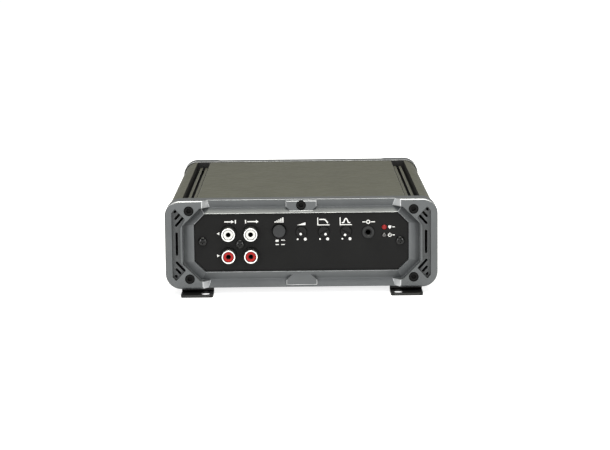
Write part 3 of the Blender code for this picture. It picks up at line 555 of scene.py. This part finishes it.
def studio():
    camera = add("camera", bpy.data.cameras.new("camera"))
    camera.location = CAMERA_PLACE
    pitch, yaw, roll = (radians(angle) for angle in CAMERA_TURN)
    aim = Euler((radians(90) - pitch, 0.0, -yaw)).to_matrix() @ Matrix.Rotation(roll, 3, "Z")
    camera.rotation_euler = aim.to_euler()
    camera.data.sensor_width = 36.0
    camera.data.lens = CAMERA_LENS
    camera.data.clip_start, camera.data.clip_end = 0.01, 60.0
    bpy.context.scene.camera = camera

    world = bpy.data.worlds.new("studio")
    world.use_nodes = True
    background = world.node_tree.nodes["Background"]
    background.inputs["Color"].default_value = (1.0, 1.0, 1.0, 1.0)
    background.inputs["Strength"].default_value = WORLD_LIGHT
    bpy.context.scene.world = world
    bpy.context.scene.view_settings.view_transform = "Standard"

    for name, place, size, power, colour in SOFTBOXES:
        light = add(name, bpy.data.lights.new(name, "AREA"))
        light.location = place
        aim = Vector(LIGHT_TARGET) - Vector(place)
        light.rotation_euler = aim.to_track_quat("-Z", "Y").to_euler()
        light.data.shape = "RECTANGLE"
        light.data.size, light.data.size_y = size
        light.data.energy = power
        light.data.color = colour

    work = bmesh.new()
    bmesh.ops.create_grid(work, x_segments=8, y_segments=8, size=20.0)
    floor = from_bmesh("floor", work)
    floor.data.materials.append(surface("floor", (0.6, 0.6, 0.6), 0.9, 8.0, 0.0, variation=0.004,
                                        Emission_Color=(1.0, 1.0, 1.0, 1.0), Emission_Strength=FLOOR_GLOW))
    floor.location.z = -0.1 * MM


# ---- end frames

def at_depth(outline, depth):
    return [(x, y, -depth) for x, y in outline]


def rim_cutter(name, outer, valley):
    margin = 3.0
    beyond = outer + copysign(margin, outer - valley)
    slope = (VALLEY_DEPTH - RIM_SETBACK) / abs(outer - valley)

    def ring(outer_depth, valley_depth):
        reach = [RAMP_X[1] - (RAMP_X[1] - RAMP_X[0]) * d / VALLEY_DEPTH for d in (outer_depth, valley_depth)]
        return [(reach[0], beyond, -outer_depth), (-reach[0], beyond, -outer_depth),
                (-reach[1], valley, -valley_depth), (reach[1], valley, -valley_depth)]

    return skin(name, [ring(-1.0, -1.0), ring(RIM_SETBACK - margin * slope, VALLEY_DEPTH)])


def vent_recess(side):
    upper = [(74.5, 10.4), (71.4, 15.9), (77.6, 22.6), (RECESS_OUTER, 20.0)]
    points = upper + [(x, -y) for x, y in reversed(upper)]
    return fillet([(side * x, VENT_MIDDLE + y) for x, y in points], 0.6, 3)


def vent_slots(side):
    lines = [((77.0, 6.6), (77.0, -6.6))]
    for up in (1, -1):
        lines.append(((77.2, up * 11.6), (72.9, up * 16.4)))
        lines.append(((77.4, up * 15.9), (75.2, up * 18.4)))
        lines.append(((77.5, up * 20.4), (77.9, up * 20.0)))
    return [
        slot_outline((side * a, VENT_MIDDLE + b), (side * c, VENT_MIDDLE + d), VENT_SLOT)
        for (a, b), (c, d) in lines
    ]


def tab(tip, outer, way):
    """A rim's middle tab, narrower towards the opening; way is 1 on the upper rim and -1 on the lower."""
    narrow, wide, shoulder = way * TAB_TIP, way * TAB_BASE, tip + way * TAB_RISE
    return [(-narrow, tip), (narrow, tip), (wide, shoulder), (wide, outer), (-wide, outer), (-wide, shoulder)]


def end_frame(end):
    """The casting: rounded outer edge, proud corners, sloped rims, raised ring, vents and screw seats."""
    node = end + "_end_frame"
    rings = []
    for step in range(7):
        angle = radians(15 * step)
        inset = EDGE_ROUND * (1 - sin(angle))
        outline = rounded_rectangle(MID_X - inset, inset, HEIGHT - inset, CORNER_RADIUS - inset)
        rings.append(at_depth(outline, EDGE_ROUND * (1 - cos(angle))))
    rings.append(at_depth(rounded_rectangle(MID_X, 0.0, HEIGHT, CORNER_RADIUS), FRAME_DEPTH))
    casting = skin(end + "_casting", rings)
    ring = octagon(RING_HALF, RING_Y, RING_CHAMFER)
    opening = octagon(OPENING_HALF, OPENING_Y, OPENING_CHAMFER)
    casting = boolean(casting, [
        rim_cutter("upper", HEIGHT, RING_Y[1]),
        rim_cutter("lower", 0.0, RING_Y[0]),
        skin("valley", [at_depth(ring, -1.0), at_depth(ring, VALLEY_DEPTH)]),
    ])
    root = octagon(RING_HALF, RING_Y, RING_CHAMFER, inset=ROOT_INSET)
    ring_levels = [at_depth(opening, LIP_DEPTH), at_depth(root, VALLEY_DEPTH)]
    ring_levels.append(at_depth(root, FRAME_DEPTH - 1))
    casting = boolean(casting, [
        skin("ring", ring_levels),
        slab("top_tab", [tab(TAB_TOP, HEIGHT - EDGE_ROUND, 1)], -FRAME_DEPTH + 2.0, -RIM_SETBACK),
        slab("low_tab", [tab(TAB_LOW, EDGE_ROUND, -1)], -FRAME_DEPTH + 2.0, -RIM_SETBACK),
    ], "UNION")
    ledge = octagon(LEDGE_HALF, LEDGE_Y, LEDGE_CHAMFER)
    casting = break_edges(boolean(casting, [
        skin("opening", [at_depth(opening, -1.0), at_depth(opening, LEDGE_DEPTH)]),
        skin("ledge", [at_depth(ledge, 0.0), at_depth(ledge, FRAME_DEPTH + 1.0)]),
    ]))
    cutters = []
    for side in (-1, 1):
        cutters.append(slab("recess", [vent_recess(side)], -RECESS_DEPTH, 1.0))
        cutters.append(slab("slots", vent_slots(side), -FRAME_DEPTH - 1.0, 0.5))
    for screw in nodes_like(end + "_frame_screw"):
        x, y, _ = spot(screw)
        face = front_of(screw)
        cutters.append(slab("seat", [circle(x, y, SCREW_SEAT)], face - SEAT_DEPTH, face + HEAD_HEIGHT))
        bore = circle(x, y, SCREW_BORE, 24)
        cutters.append(slab("bore", [bore], -FRAME_DEPTH - 1.0, face - HEAD_HEIGHT))
    casting = boolean(casting, cutters)
    put(casting, "cast_frame", replaces=[node], end=end)
    # Painted highlight, painted shade and painted light on some of the frame's faces.
    for finish in FRAME_LIGHT_AND_SHADE:
        casting.data.materials.append(FINISH[finish])
    for face in casting.data.polygons:
        finish = frame_light_and_shade(face.center / MM, face.normal)
        if finish:
            face.material_index = 1 + FRAME_LIGHT_AND_SHADE.index(finish)


def frame_light_and_shade(centre, normal):
    """The colour, if any, that a face gets instead of the cast frame's own: painted shade, painted highlight
    and painted light, and the ramps' bright metal, which is partly painted highlight.
    """
    x, y, z = centre
    away = copysign(1.0, x) * normal.x
    # Painted shade: the frame's back face, seen at the groove ends behind the fins, is black.
    if z < -FRAME_DEPTH + 0.1 and normal.z < -0.9:
        return "hole_and_back_painted_shade"
    # Painted highlight: the strips of the frame's top edge that face up and forward.
    if y > HEIGHT - CORNER_RADIUS and z > -RIM_SETBACK - EDGE_ROUND / 2:
        if 0.5 < normal.y < 0.96 and normal.z > 0.2:
            return "ramp_and_edge_painted_highlight"
    # The ramp facets are bright metal, partly as a painted highlight of the light they catch.
    if not RING_Y[0] < y < RING_Y[1] and RAMP_X[0] - 0.5 < abs(x) < RAMP_X[1] + 0.5:
        if 0.4 < abs(normal.x) < 0.95 and abs(normal.y) < 0.25 and normal.z > 0.3:
            return "ramp_and_edge_painted_highlight"
    # Painted light: the ring's side and diagonal strips are lighter, against the shade that the corner blocks
    # cast on them.
    beside_opening = OPENING_HALF - OPENING_CHAMFER < abs(x) < RING_HALF
    if beside_opening and z < -LIP_DEPTH and 0.7 < normal.z < 0.9:
        return "ring_side_painted_light"
    # Painted shade in the vent recesses: the floors darker than the frame, the walls near-black.
    in_recess = abs(y - VENT_MIDDLE) < RECESS_REACH and abs(x) < RECESS_OUTER + 0.2
    in_recess = in_recess and -RECESS_DEPTH - 0.1 < z < -0.1
    if in_recess and (abs(x) > RING_HALF + 0.4 or away > 0.1):
        return "recess_floor_painted_shade" if normal.z > 0.9 else "groove_painted_shade"
    return None


# ---- body

def shell_outline():
    """Half of the extrusion's section: round the cavity, then out, up the side and over the fins."""
    low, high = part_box("heatsink_body")
    low, top = low.z / MM - BASE_Z, high.z / MM - BASE_Z
    half_width = high.x / MM
    cover_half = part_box("bottom_cover")[1].x / MM + GAP
    cover_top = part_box("bottom_cover")[1].z / MM - BASE_Z + GAP
    half = [(CHANNEL_HALF, CHANNEL_LOW), (CHANNEL_HALF, CAVITY_TOP), (GROOVE_INNER, CAVITY_TOP),
            (GROOVE_INNER, CAVITY_SIDE_TOP), (CAVITY_HALF, CAVITY_SIDE_TOP), (CAVITY_HALF, CAVITY_LOW),
            (BOSS_INNER, CAVITY_LOW), (BOSS_INNER, cover_top), (cover_half, cover_top), (cover_half, low)]
    half += arc((half_width - SHELL_RADIUS, low + SHELL_RADIUS), SHELL_RADIUS, -90, 0, 12)
    floor = half_width - SIDE_GROOVE_DEPTH
    for low_edge in SIDE_GROOVES:
        high_edge = low_edge + SIDE_GROOVE_WIDTH
        half += [(half_width, low_edge), (floor, low_edge + SIDE_GROOVE_FLANK),
                 (floor, high_edge - SIDE_GROOVE_FLANK), (half_width, high_edge)]
    half += arc((half_width - SHELL_RADIUS, top - SHELL_RADIUS), SHELL_RADIUS, 0, 90, 14)
    heights = ((top, FIN_TOP), (FIN_TOP, FIN_TOP), (FIN_TOP, top))
    for (inner, outer), (outer_top, inner_top) in zip(GROOVES, heights):
        half += [(outer, outer_top), (outer, GROOVE_FLOOR), (inner, GROOVE_FLOOR), (inner, inner_top)]
    return half


def heatsink():
    """The extrusion with its machined fins, and the bores that the frame and foot screws go into."""
    half = shell_outline()
    outline = half + [(-x, y) for x, y in reversed(half)]
    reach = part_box("heatsink_body")[1].y / MM
    shell = slab("heatsink", [fillet(outline, 0.25, 2)], -reach, reach)
    for end, side in (("front", 1), ("rear", -1)):
        spots = [spot(name)[:2] for name in nodes_like(end + "_frame_screw")]
        bores = [circle(side * x, y, SCREW_BORE, 16) for x, y in spots]
        ends = sorted((side * (reach - 14.0), side * (reach + 1.0)))
        shell = boolean(shell, [slab("bores", bores, *ends)])
    shell.location = (0.0, 0.0, BASE_Z * MM)
    shell.rotation_euler = (radians(90), 0.0, 0.0)
    shell = boolean(shell, [slab("foot_holes", foot_screw_holes(16), BASE_Z - 1.0, BASE_Z + 8.0)])
    put(shell, "anodised_shell", replaces=["heatsink_body"])
    # Painted shade: the grooves' walls and floors, all but the fin tops, are near-black for the shade in
    # them.
    shell.data.materials.append(FINISH["groove_painted_shade"])
    for face in shell.data.polygons:
        x, y, _ = face.center / MM
        in_grooves = GROOVES[-1][0] - 0.1 < abs(x) < GROOVES[0][1] + 0.1 and 46.0 < y < 54.2
        on_fin = y > FIN_TOP - 0.2 and abs(x) < 72.0 and face.normal.y > 0.5
        if in_grooves and not on_fin:
            face.material_index = 1


def foot_screw_holes(segments):
    middles = [(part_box(name)[0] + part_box(name)[1]) / 2 / MM for name in nodes_like("foot_screw")]
    return [circle(middle.x, middle.y, SCREW_BORE, segments) for middle in middles]


def bottom_cover():
    low, high = (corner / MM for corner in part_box("bottom_cover"))
    outline = fillet(rectangle(0.0, 0.0, high.x - low.x, high.y - low.y), 0.6)
    cover = slab("cover", [outline] + foot_screw_holes(24), low.z, high.z, 0.15)
    put(cover, "black_steel", replaces=["bottom_cover"])


def face_plate(node, end, holes):
    """The flat plate in a frame's opening. Its rim and holes have a small radius."""
    outline = octagon(OPENING_HALF, OPENING_Y, OPENING_CHAMFER, inset=GAP)
    plate = slab(end + "_plate", [fillet(outline, 0.5)] + holes, -PLATE_BACK, -PLATE_FACE, 0.12)
    put(plate, "control_plate", replaces=[node], end=end)


def front_plate():
    holes = [circle(*spot(name)[:2], SCREW_HOLE, 24) for name in nodes_like("panel_screw")]
    holes += [circle(*spot(name)[:2], SOCKET_HOLE) for name in nodes_like("rca_shell")]
    holes.append(circle(*spot("level_button")[:2], BUTTON_HOLE))
    holes += [circle(*spot(name)[:2], ROTOR_HOLE) for name in nodes_like("", "_pot_rotor")]
    holes.append(circle(*spot("remote_jack")[:2], REMOTE_HOLE))
    holes += [circle(*spot(name)[:2], LIGHT_HOLE, 32) for name in ("protect_led", "power_led")]
    face_plate("front_control_panel", "front", holes)


def rear_plate():
    holes = []
    for name in ("power_terminal", "speaker_terminal", "fuse_1", "fuse_2"):
        width, height = face_size(name)
        holes.append(fillet(rectangle(*spot(name)[:2], width + 2 * GAP, height + 2 * GAP), 0.5))
    face_plate("rear_terminal_panel", "rear", holes)


def nodes_like(start, end=""):
    return sorted(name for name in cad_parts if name.startswith(start) and name.endswith(end))


def face_size(node):
    low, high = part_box(node)
    return (high.x - low.x) / MM, (high.z - low.z) / MM


# ---- fasteners

def hexagons(*levels):
    """A hexagonal ring of points for each radius and height."""
    turns = [radians(60 * i) for i in range(6)]
    return [[(radius * cos(a), radius * sin(a), z) for a in turns] for radius, z in levels]


def frame_screw(node):
    """A socket-head screw. Its head and its deep hexagon have a broken edge."""
    x, y, end = spot(node)
    length = depth_of(node)
    profile = [(0, 0), (SCREW_HEAD, 0), (SCREW_HEAD, -HEAD_HEIGHT), (SCREW_SHANK, -HEAD_HEIGHT),
               (SCREW_SHANK, -length), (0, -length)]
    screw = lathe(node + "_fine", profile, 48, 0.35)
    screw = boolean(screw, [skin("hexagon", hexagons((1.95, 0.4), (1.45, -0.15), (1.45, -1.7)))])
    put(screw, "black_steel", replaces=[node], end=end, x=x, y=y, height=front_of(node),
        finish="black_oxide")


def cross_recess(size, width, top, bottom):
    rings = []
    for scale, z in ((1.25, top + 0.6), (1.0, top), (0.55, bottom)):
        a, b = size * scale, width * scale
        rings.append([(a, -b, z), (a, b, z), (b, b, z), (b, a, z), (-b, a, z), (-b, b, z),
                      (-a, b, z), (-a, -b, z), (-b, -b, z), (-b, -a, z), (b, -a, z), (b, -b, z)])
    return skin("cross", rings)


def dome(radius, low, high):
    """Half a dome's section, from its top on the axis down to its rim."""
    turns = [radians(a) for a in range(0, 91, 6)]
    return [(radius * sin(a), low + (high - low) * cos(a)) for a in turns]


def pan_screw(name, radius, shank, length):
    """A pan-head screw with a cross recess; the head's underside is at height 0."""
    profile = dome(radius, PAN_RIM, PAN_HEIGHT) + [(radius, 0), (shank, 0), (shank, -length), (0, -length)]
    return boolean(lathe(name, profile, 48, 0.12), [cross_recess(1.5, 0.3, PAN_HEIGHT, PAN_RIM)])


def panel_screws():
    for node in nodes_like("panel_screw"):
        x, y, end = spot(node)
        screw = pan_screw(node + "_fine", SCREW_HEAD, 1.2, 6.0)
        put(screw, "black_steel", replaces=[node], end=end, x=x, y=y, height=front_of(node) - PAN_HEIGHT,
            finish="black_gloss")


def foot_screws():
    for node in nodes_like("foot_screw"):
        low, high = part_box(node)
        screw = pan_screw(node + "_fine", 2.6, SCREW_SHANK, 7.0)
        screw.location = ((low.x + high.x) / 2, (low.y + high.y) / 2, low.z + PAN_HEIGHT * MM)
        screw.rotation_euler.x = pi
        put(screw, "black_steel", replaces=[node])


# ---- controls

def tube(name, inner, outer, front, back, segments=64, soften=0.3):
    wall = [(inner, front), (outer, front), (outer, back), (inner, back)]
    return lathe(name, wall, segments, soften, closed=True)


def rca_sockets():
    """Nickel shells over coloured inserts, in a black housing whose collars fill the plate's holes."""
    spots = {name: spot(name) for name in nodes_like("rca_shell")}
    low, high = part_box("rca_housing")
    back = FRONT_Y - high.y / MM
    x0, x1 = low.x / MM, high.x / MM
    y0, y1 = low.z / MM - BASE_Z, high.z / MM - BASE_Z
    housing = block("rca_block", (x0, y0, back), (x1, y1, HOUSING_FACE))
    collars = [circle(x, y, JACK_COLLAR) for x, y, _ in spots.values()]
    housing = boolean(housing, [slab("collars", collars, -8.0, -2.3, 0.2)], "UNION")
    bores = [circle(x, y, JACK_BORE) for x, y, _ in spots.values()]
    bores.append(circle(*spot("panel_screw_middle")[:2], SCREW_HOLE, 24))
    housing = boolean(housing, [slab("bores", bores, -12.0, 1.0)])
    put(housing, "black_plastic", replaces=["rca_housing"], end="front")
    front = front_of("rca_shell_input_white")
    for node, (x, y, end) in spots.items():
        shell = tube(node + "_fine", JACK_SHELL - JACK_WALL, JACK_SHELL, front, JACK_BACK)
        put(shell, "bright_metal", replaces=[node], end=end, x=x, y=y)
        insert = node.replace("shell", "insert")
        face = front_of(insert)
        slot = "red_plastic" if "red" in node else "white_plastic"
        lining = tube(insert + "_fine", JACK_HOLE, JACK_INSERT, face, JACK_BACK)
        put(lining, slot, replaces=[insert], end=end, x=x, y=y)
        # Painted shade: a black liner deep in the insert's hole.
        liner = tube(node.replace("shell", "hole_shade"), 1.25, 1.5, face - 1.2, JACK_BACK + 0.3, 32, 0.05)
        put(liner, "black_plastic", end=end, x=x, y=y, finish="hole_and_back_painted_shade")


def level_switch():
    x, y, end = spot("level_button")
    face, depth = front_of("level_button"), depth_of("level_button")
    dish = [(0, face - 0.35), (1.6, face - 0.28), (2.9, face - 0.05), (3.3, face)]
    profile = dish + [(BUTTON_RADIUS, face), (BUTTON_RADIUS, face - depth), (0, face - depth)]
    put(lathe("button_cap", profile, 64, 0.3), "grey_plastic", body="level_button",
        replaces=["level_button"], end=end, x=x, y=y)


def trim_pots():
    """A slotted rotor for each trimmer, with a white dot at the end of its slot that shows its setting."""
    for node in nodes_like("", "_pot_rotor"):
        x, y, end = spot(node)
        face, depth = front_of(node), depth_of(node)
        angle, dot = POT_POINTERS[node]
        profile = [(0, face), (ROTOR_RADIUS, face), (ROTOR_RADIUS, face - depth), (0, face - depth)]
        rotor = lathe(node + "_fine", profile, 64, 0.3)
        length, width, deep = DRIVER_SLOT
        driver = block("driver", (-length / 2, -width / 2, face - deep), (length / 2, width / 2, face + 1.0))
        turn = Matrix.Rotation(radians(angle), 4, "Z")
        for vertex in driver.data.vertices:
            vertex.co = turn @ vertex.co
        rotor = boolean(rotor, [driver])
        put(rotor, "black_plastic", body=node, replaces=[node], end=end, x=x, y=y)
        mark = slab(node + "_dot", [circle(*dot, POINTER_DOT, 24)], face + INK_LOW, face + INK_HIGH)
        put(mark, "white_plastic", body=node, end=end, x=x, y=y, finish="ink")


def remote_socket():
    x, y, end = spot("remote_jack")
    low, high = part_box("remote_jack")
    front, back = front_of("remote_jack"), FRONT_Y - high.y / MM
    half = (high.x - low.x) / MM / 2
    jack = block("remote_block", (-half, -half, back), (half, half, HOUSING_FACE))
    profile = [(0, front), (REMOTE_BARREL, front), (REMOTE_BARREL, -7.0), (0, -7.0)]
    barrel = lathe("remote_barrel", profile, 64, 0.35)
    mouth = [(0, front + 1.0), (REMOTE_MOUTH, front + 1.0), (REMOTE_MOUTH, front),
             (REMOTE_BORE, front - 0.5), (REMOTE_BORE, REMOTE_BACK), (0, REMOTE_BACK)]
    jack = boolean(boolean(jack, [barrel], "UNION"), [lathe("remote_mouth", mouth, 64, 0.05)])
    put(jack, "grey_plastic", replaces=["remote_jack"], end=end, x=x, y=y, finish="dark_grey")
    # Painted shade: a black lining deep in the socket's bore.
    lining = tube("remote_hole_shade", 1.6, 1.8, front - 1.0, REMOTE_BACK + 1.0, 32, 0.05)
    put(lining, "black_plastic", end=end, x=x, y=y, finish="hole_and_back_painted_shade")


def indicator_lights():
    for node, slot in (("protect_led", "red_lens"), ("power_led", "dark_lens")):
        x, y, end = spot(node)
        front = front_of(node)
        profile = dome(LIGHT_RADIUS, front - 1.0, front) + [(LIGHT_RADIUS, LIGHT_BACK), (0, LIGHT_BACK)]
        lens = lathe(node + "_fine", profile, 48, 0.05)
        put(lens, slot, replaces=[node], end=end, x=x, y=y)


# ---- printed marks

def stroke(points, width):
    """The outline of a line of that width along the points."""
    near, far = [], []
    path = [Vector(point) for point in points]
    for i, point in enumerate(path):
        before = (point - path[i - 1]).normalized() if i else (path[1] - point).normalized()
        after = (path[i + 1] - point).normalized() if i < len(path) - 1 else before
        along = (before + after).normalized()
        across = Vector((-along.y, along.x)) * width / 2 / max(0.5, along.dot(before))
        near.append(tuple(point + across))
        far.append(tuple(point - across))
    return near + far[::-1]


def moved(outline, x, y):
    return [(x + a, y + b) for a, b in outline]


def ring_outlines(radius, width):
    return [circle(0, 0, radius + width / 2, 24), circle(0, 0, radius - width / 2, 24)]


def printed(name, outlines, x, y):
    """Marks in white ink on the control plate, their middle at (x, y)."""
    shapes = [moved(outline, x, y) for outline in outlines]
    ink = slab(name, shapes, INK_LOW - PLATE_FACE, INK_HIGH - PLATE_FACE)
    put(ink, "white_plastic", end="front", finish="ink")


def arrow(start, end, width):
    """Outlines of a straight arrow with a solid head, along x."""
    way = copysign(1.0, end - start)
    neck = end - way * 1.6
    return [[(start, -width / 2), (neck, -width / 2), (neck, -1.0), (end, 0.0),
             (neck, 1.0), (neck, width / 2), (start, width / 2)]]


def printed_marks():
    """Plain signs in place of words: what each socket and control is for, and the ends of each turn."""
    socket_marks()
    level_marks()
    trimmer_marks()
    remote_and_light_marks()


def socket_marks():
    left, right = spot("rca_shell_input_white")[0], spot("rca_shell_output_white")[0]
    upper, lower = spot("rca_shell_input_white")[1], spot("rca_shell_input_red")[1]
    level = upper + 7.3
    bar = [rectangle(3.4, 0, 0.7, 2.2)]
    printed("mark_input", arrow(-3.4, 2.4, CURVE_LINE) + bar, left + 1.0, level)
    bar = [rectangle(-4.1, 0, 0.7, 2.2)]
    printed("mark_output", bar + arrow(-3.1, 3.9, CURVE_LINE), right + 1.0, level)
    for name, y, way in (("mark_left_channel", upper, -1), ("mark_right_channel", lower, 1)):
        printed(name, [[(-way * 0.8, -0.9), (way * 0.9, 0.0), (-way * 0.8, 0.9)]], left - 6.4, y)


def level_marks():
    x, y, _ = spot("level_button")
    bars = [rectangle(-2.4 + 1.2 * i, -1.5 + (0.8 + 0.6 * i) / 2, 0.75, 0.8 + 0.6 * i) for i in range(5)]
    printed("mark_level", bars, x, y + 6.6)
    printed("mark_high", [rectangle(0, 0, 1.9, 1.3), rectangle(3.6, 0.35, 2.2, LINE)], x - 1.3, y - 6.2)
    low_signs = [rectangle(0, -0.2, 1.9, LINE), rectangle(3.6, -0.2, 2.2, LINE)]
    printed("mark_low", low_signs, x - 1.3, y - 8.4)


def trimmer_marks():
    pots = {name.split("_")[0]: spot(name) for name in nodes_like("", "_pot_rotor")}
    x, y, _ = pots["gain"]
    printed("mark_gain", [[(-2.6, -0.7), (2.6, -0.7), (2.6, 1.0)]], x, y + 4.9)
    x, y, _ = pots["crossover"]
    axes = [(-3.6, 2.2), (-3.6, -2.4), (3.6, -2.4)]
    curve = [(-2.6, 1.0), (0.2, 1.0), (1.1, 0.7), (1.8, -0.1), (2.6, -1.4)]
    printed("mark_crossover", [stroke(axes, LINE), stroke(curve, CURVE_LINE)], x, y + 6.6)
    x, y, _ = pots["boost"]
    hump = [(-2.6, -1.2), (-1.4, -1.0)] + [(t, 1.5 - 1.4 * t * t) for t in (-0.9, -0.4, 0.0, 0.4, 0.9)]
    hump += [(1.4, -1.0), (2.6, -1.2)]
    printed("mark_boost", [stroke(axes, LINE), stroke(hump, CURVE_LINE)], x, y + 6.6)
    for name, (x, y, _) in pots.items():
        printed(f"mark_{name}_least", [circle(-2.3, -4.6, 0.55, 20)], x, y)
        printed(f"mark_{name}_most", [circle(2.4, -4.6, 0.92, 24)], x, y)


def remote_and_light_marks():
    x, y, _ = spot("remote_jack")
    lines = [rectangle(2.9, 0, 2.6, LINE), rectangle(-2.6, 0, 2.0, LINE)]
    printed("mark_remote", ring_outlines(1.0, LINE) + lines, x, y + 6.4)
    x, y, _ = spot("protect_led")
    shield = [(-0.9, 0.9), (0.9, 0.9), (0.9, -0.1), (0.0, -1.1), (-0.9, -0.1)]
    printed("mark_protect", [shield, rectangle(2.3, 0.1, 1.6, 0.5)], x + 3.4, y)
    x, y, _ = spot("power_led")
    open_ring = stroke([(0.95 * sin(radians(a)), 0.95 * cos(radians(a)))
                        for a in range(40, 321, 20)], 0.4)
    signs = [open_ring, rectangle(0.0, 0.75, 0.4, 1.2), rectangle(2.3, 0, 1.6, 0.5)]
    printed("mark_power", signs, x + 3.4, y)


# ---- rear end

def terminal_block(node, wires):
    """A moulded block with a chamfered wire entry and a clamp-screw well for each wire."""
    x, y, end = spot(node)
    width, height = face_size(node)
    front = front_of(node)
    back = front - depth_of(node)
    body = slab(node + "_moulding", [fillet(rectangle(0, 0, width, height), 0.8)], back, front, 0.25)
    entries, wells = [], []
    for offset, side in wires:
        rings = [[(offset + a * (side / 2 + grow), b * (side / 2 + grow) - WIRE_DROP, z)
                  for a, b in ((-1, -1), (1, -1), (1, 1), (-1, 1))]
                 for grow, z in ((1.5, front + 1.0), (0.5, front), (0.0, front - 0.6), (0.0, WIRE_END))]
        entries.append(skin("entry", rings))
        wells.append(circle(offset, CLAMP_RISE, CLAMP_WELL, 32))
    body = boolean(body, entries)
    body = boolean(body, [slab("wells", wells, -9.0, front + 1.0)])
    put(body, "black_plastic", replaces=[node], end=end, x=x, y=y)
    for i, (offset, side) in enumerate(wires):
        screw = f"{node}_screw_{i + 1}"
        profile = [(0, CLAMP_TOP), (CLAMP_HEAD, CLAMP_TOP), (CLAMP_HEAD, CLAMP_END), (0, CLAMP_END)]
        socket = skin("hexagon", hexagons((1.0, 0.0), (1.0, -5.0)))
        head = boolean(lathe(screw + "_fine", profile, 48, 0.25), [socket])
        put(head, "black_steel", replaces=[screw], end=end, x=x + offset, y=y + CLAMP_RISE)
        outer = side - 0.1
        inner = outer - 2 * CAGE_WALL
        cage = [fillet(rectangle(offset, -WIRE_DROP, outer, outer), 0.4),
                fillet(rectangle(offset, -WIRE_DROP, inner, inner), 0.3)]
        clamp = slab(f"{node}_clamp_{i + 1}", cage, *CLAMP_CAGE, 0.1)
        put(clamp, "bright_metal", end=end, x=x, y=y)


def fuses():
    """Blade fuses: a clear coloured body with a window over its link."""
    for node in nodes_like("fuse_"):
        x, y, end = spot(node)
        width, height = face_size(node)
        front = front_of(node)
        body = slab(node + "_moulding", [fillet(rectangle(0, 0, width, height), 0.9)], -12.0, front, 0.4)
        body = boolean(body, [block("window", (-width / 2 + 2.5, -1.0, -2.5), (width / 2 - 2.5, 1.0, 2.0))])
        put(body, "fuse_plastic", replaces=[node], end=end, x=x, y=y)


# ---- feet

def foot(node):
    """Bent steel: a slotted tab, a joggle with round bends, and a flange under the body."""
    low, high = (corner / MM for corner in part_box(node))
    side = 1 if low.x > 0 else -1
    out = 1 if low.y > 0 else -1
    near, far = sorted((abs(low.x), abs(high.x)))
    tip, inner = max(abs(low.y), abs(high.y)), min(abs(low.y), abs(high.y))
    top = high.z
    step = tip - FOOT_TAB
    steel = FOOT_STEEL
    path = [(tip, 0.0), (step, 0.0), (step, top - steel), (inner, top - steel), (inner, top),
            (step + steel, top), (step + steel, steel), (tip, steel)]
    bar = slab("bar", [fillet(path, FOOT_BEND, 4)], near, far)
    for vertex in bar.data.vertices:
        vertex.co = Vector((vertex.co.z, vertex.co.x, vertex.co.y))
    corner = FOOT_CORNER
    neck_in, neck_out = FOOT_NECK
    plan = [(far, step + 1.5), (far, tip - corner)] + arc((far - corner, tip - corner), corner, 0, 90, 8)
    plan += arc((near + corner, tip - corner), corner, 90, 180, 8)
    plan += [(near, step + 1.5), (neck_in, step + 1.0), (neck_in, inner - 1.0),
             (neck_out, inner - 1.0), (neck_out, step + 1.0)]
    length, width = FOOT_SLOT
    middle, half = (tip + step) / 2 + 0.1, (length - width) / 2
    slot_x = near + FOOT_SLOT_INSET
    slot = slot_outline((slot_x, middle - half), (slot_x, middle + half), width, 12)
    screw_hole = circle(FOOT_SCREW, abs(REAR_Y) - FOOT_SCREW_DEPTH, SCREW_BORE, 24)
    bracket = boolean(bar, [slab("plan", [plan, slot, screw_hole], -1.0, top + 1.0)], "INTERSECT")
    work = bmesh.new()
    work.from_mesh(bracket.data)
    bmesh.ops.scale(work, verts=work.verts, vec=(side, out, 1.0))
    bmesh.ops.recalc_face_normals(work, faces=work.faces)
    work.to_mesh(bracket.data)
    work.free()
    put(break_edges(bracket, 0.2), "black_steel", replaces=[node])


# ---- inside

def inner_parts():
    """The CAD pieces that only show through gaps keep their shape and get their finish."""
    finishes = {"main_circuit_board": "circuit_board", "control_circuit_board": "circuit_board",
                "power_toroid": "copper_winding", "output_inductor": "copper_winding",
                "filter_capacitor": "capacitor_sleeve", "level_switch_body": "black_plastic"}
    finishes.update({name: "black_plastic" for name in nodes_like("", "_pot_case")})
    for name, finish in finishes.items():
        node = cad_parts[name]
        node.data.materials.clear()
        node.data.materials.append(FINISH[finish])


for end_name in ("front", "rear"):
    end_frame(end_name)
heatsink()
bottom_cover()
front_plate()
rear_plate()
for screw_node in nodes_like("front_frame_screw") + nodes_like("rear_frame_screw"):
    frame_screw(screw_node)
panel_screws()
rca_sockets()
level_switch()
trim_pots()
remote_socket()
indicator_lights()
printed_marks()
terminal_block("power_terminal", POWER_WIRES)
terminal_block("speaker_terminal", SPEAKER_WIRES)
fuses()
for foot_node in ("foot_front_right", "foot_front_left", "foot_rear_right", "foot_rear_left"):
    foot(foot_node)
foot_screws()
inner_parts()
studio()
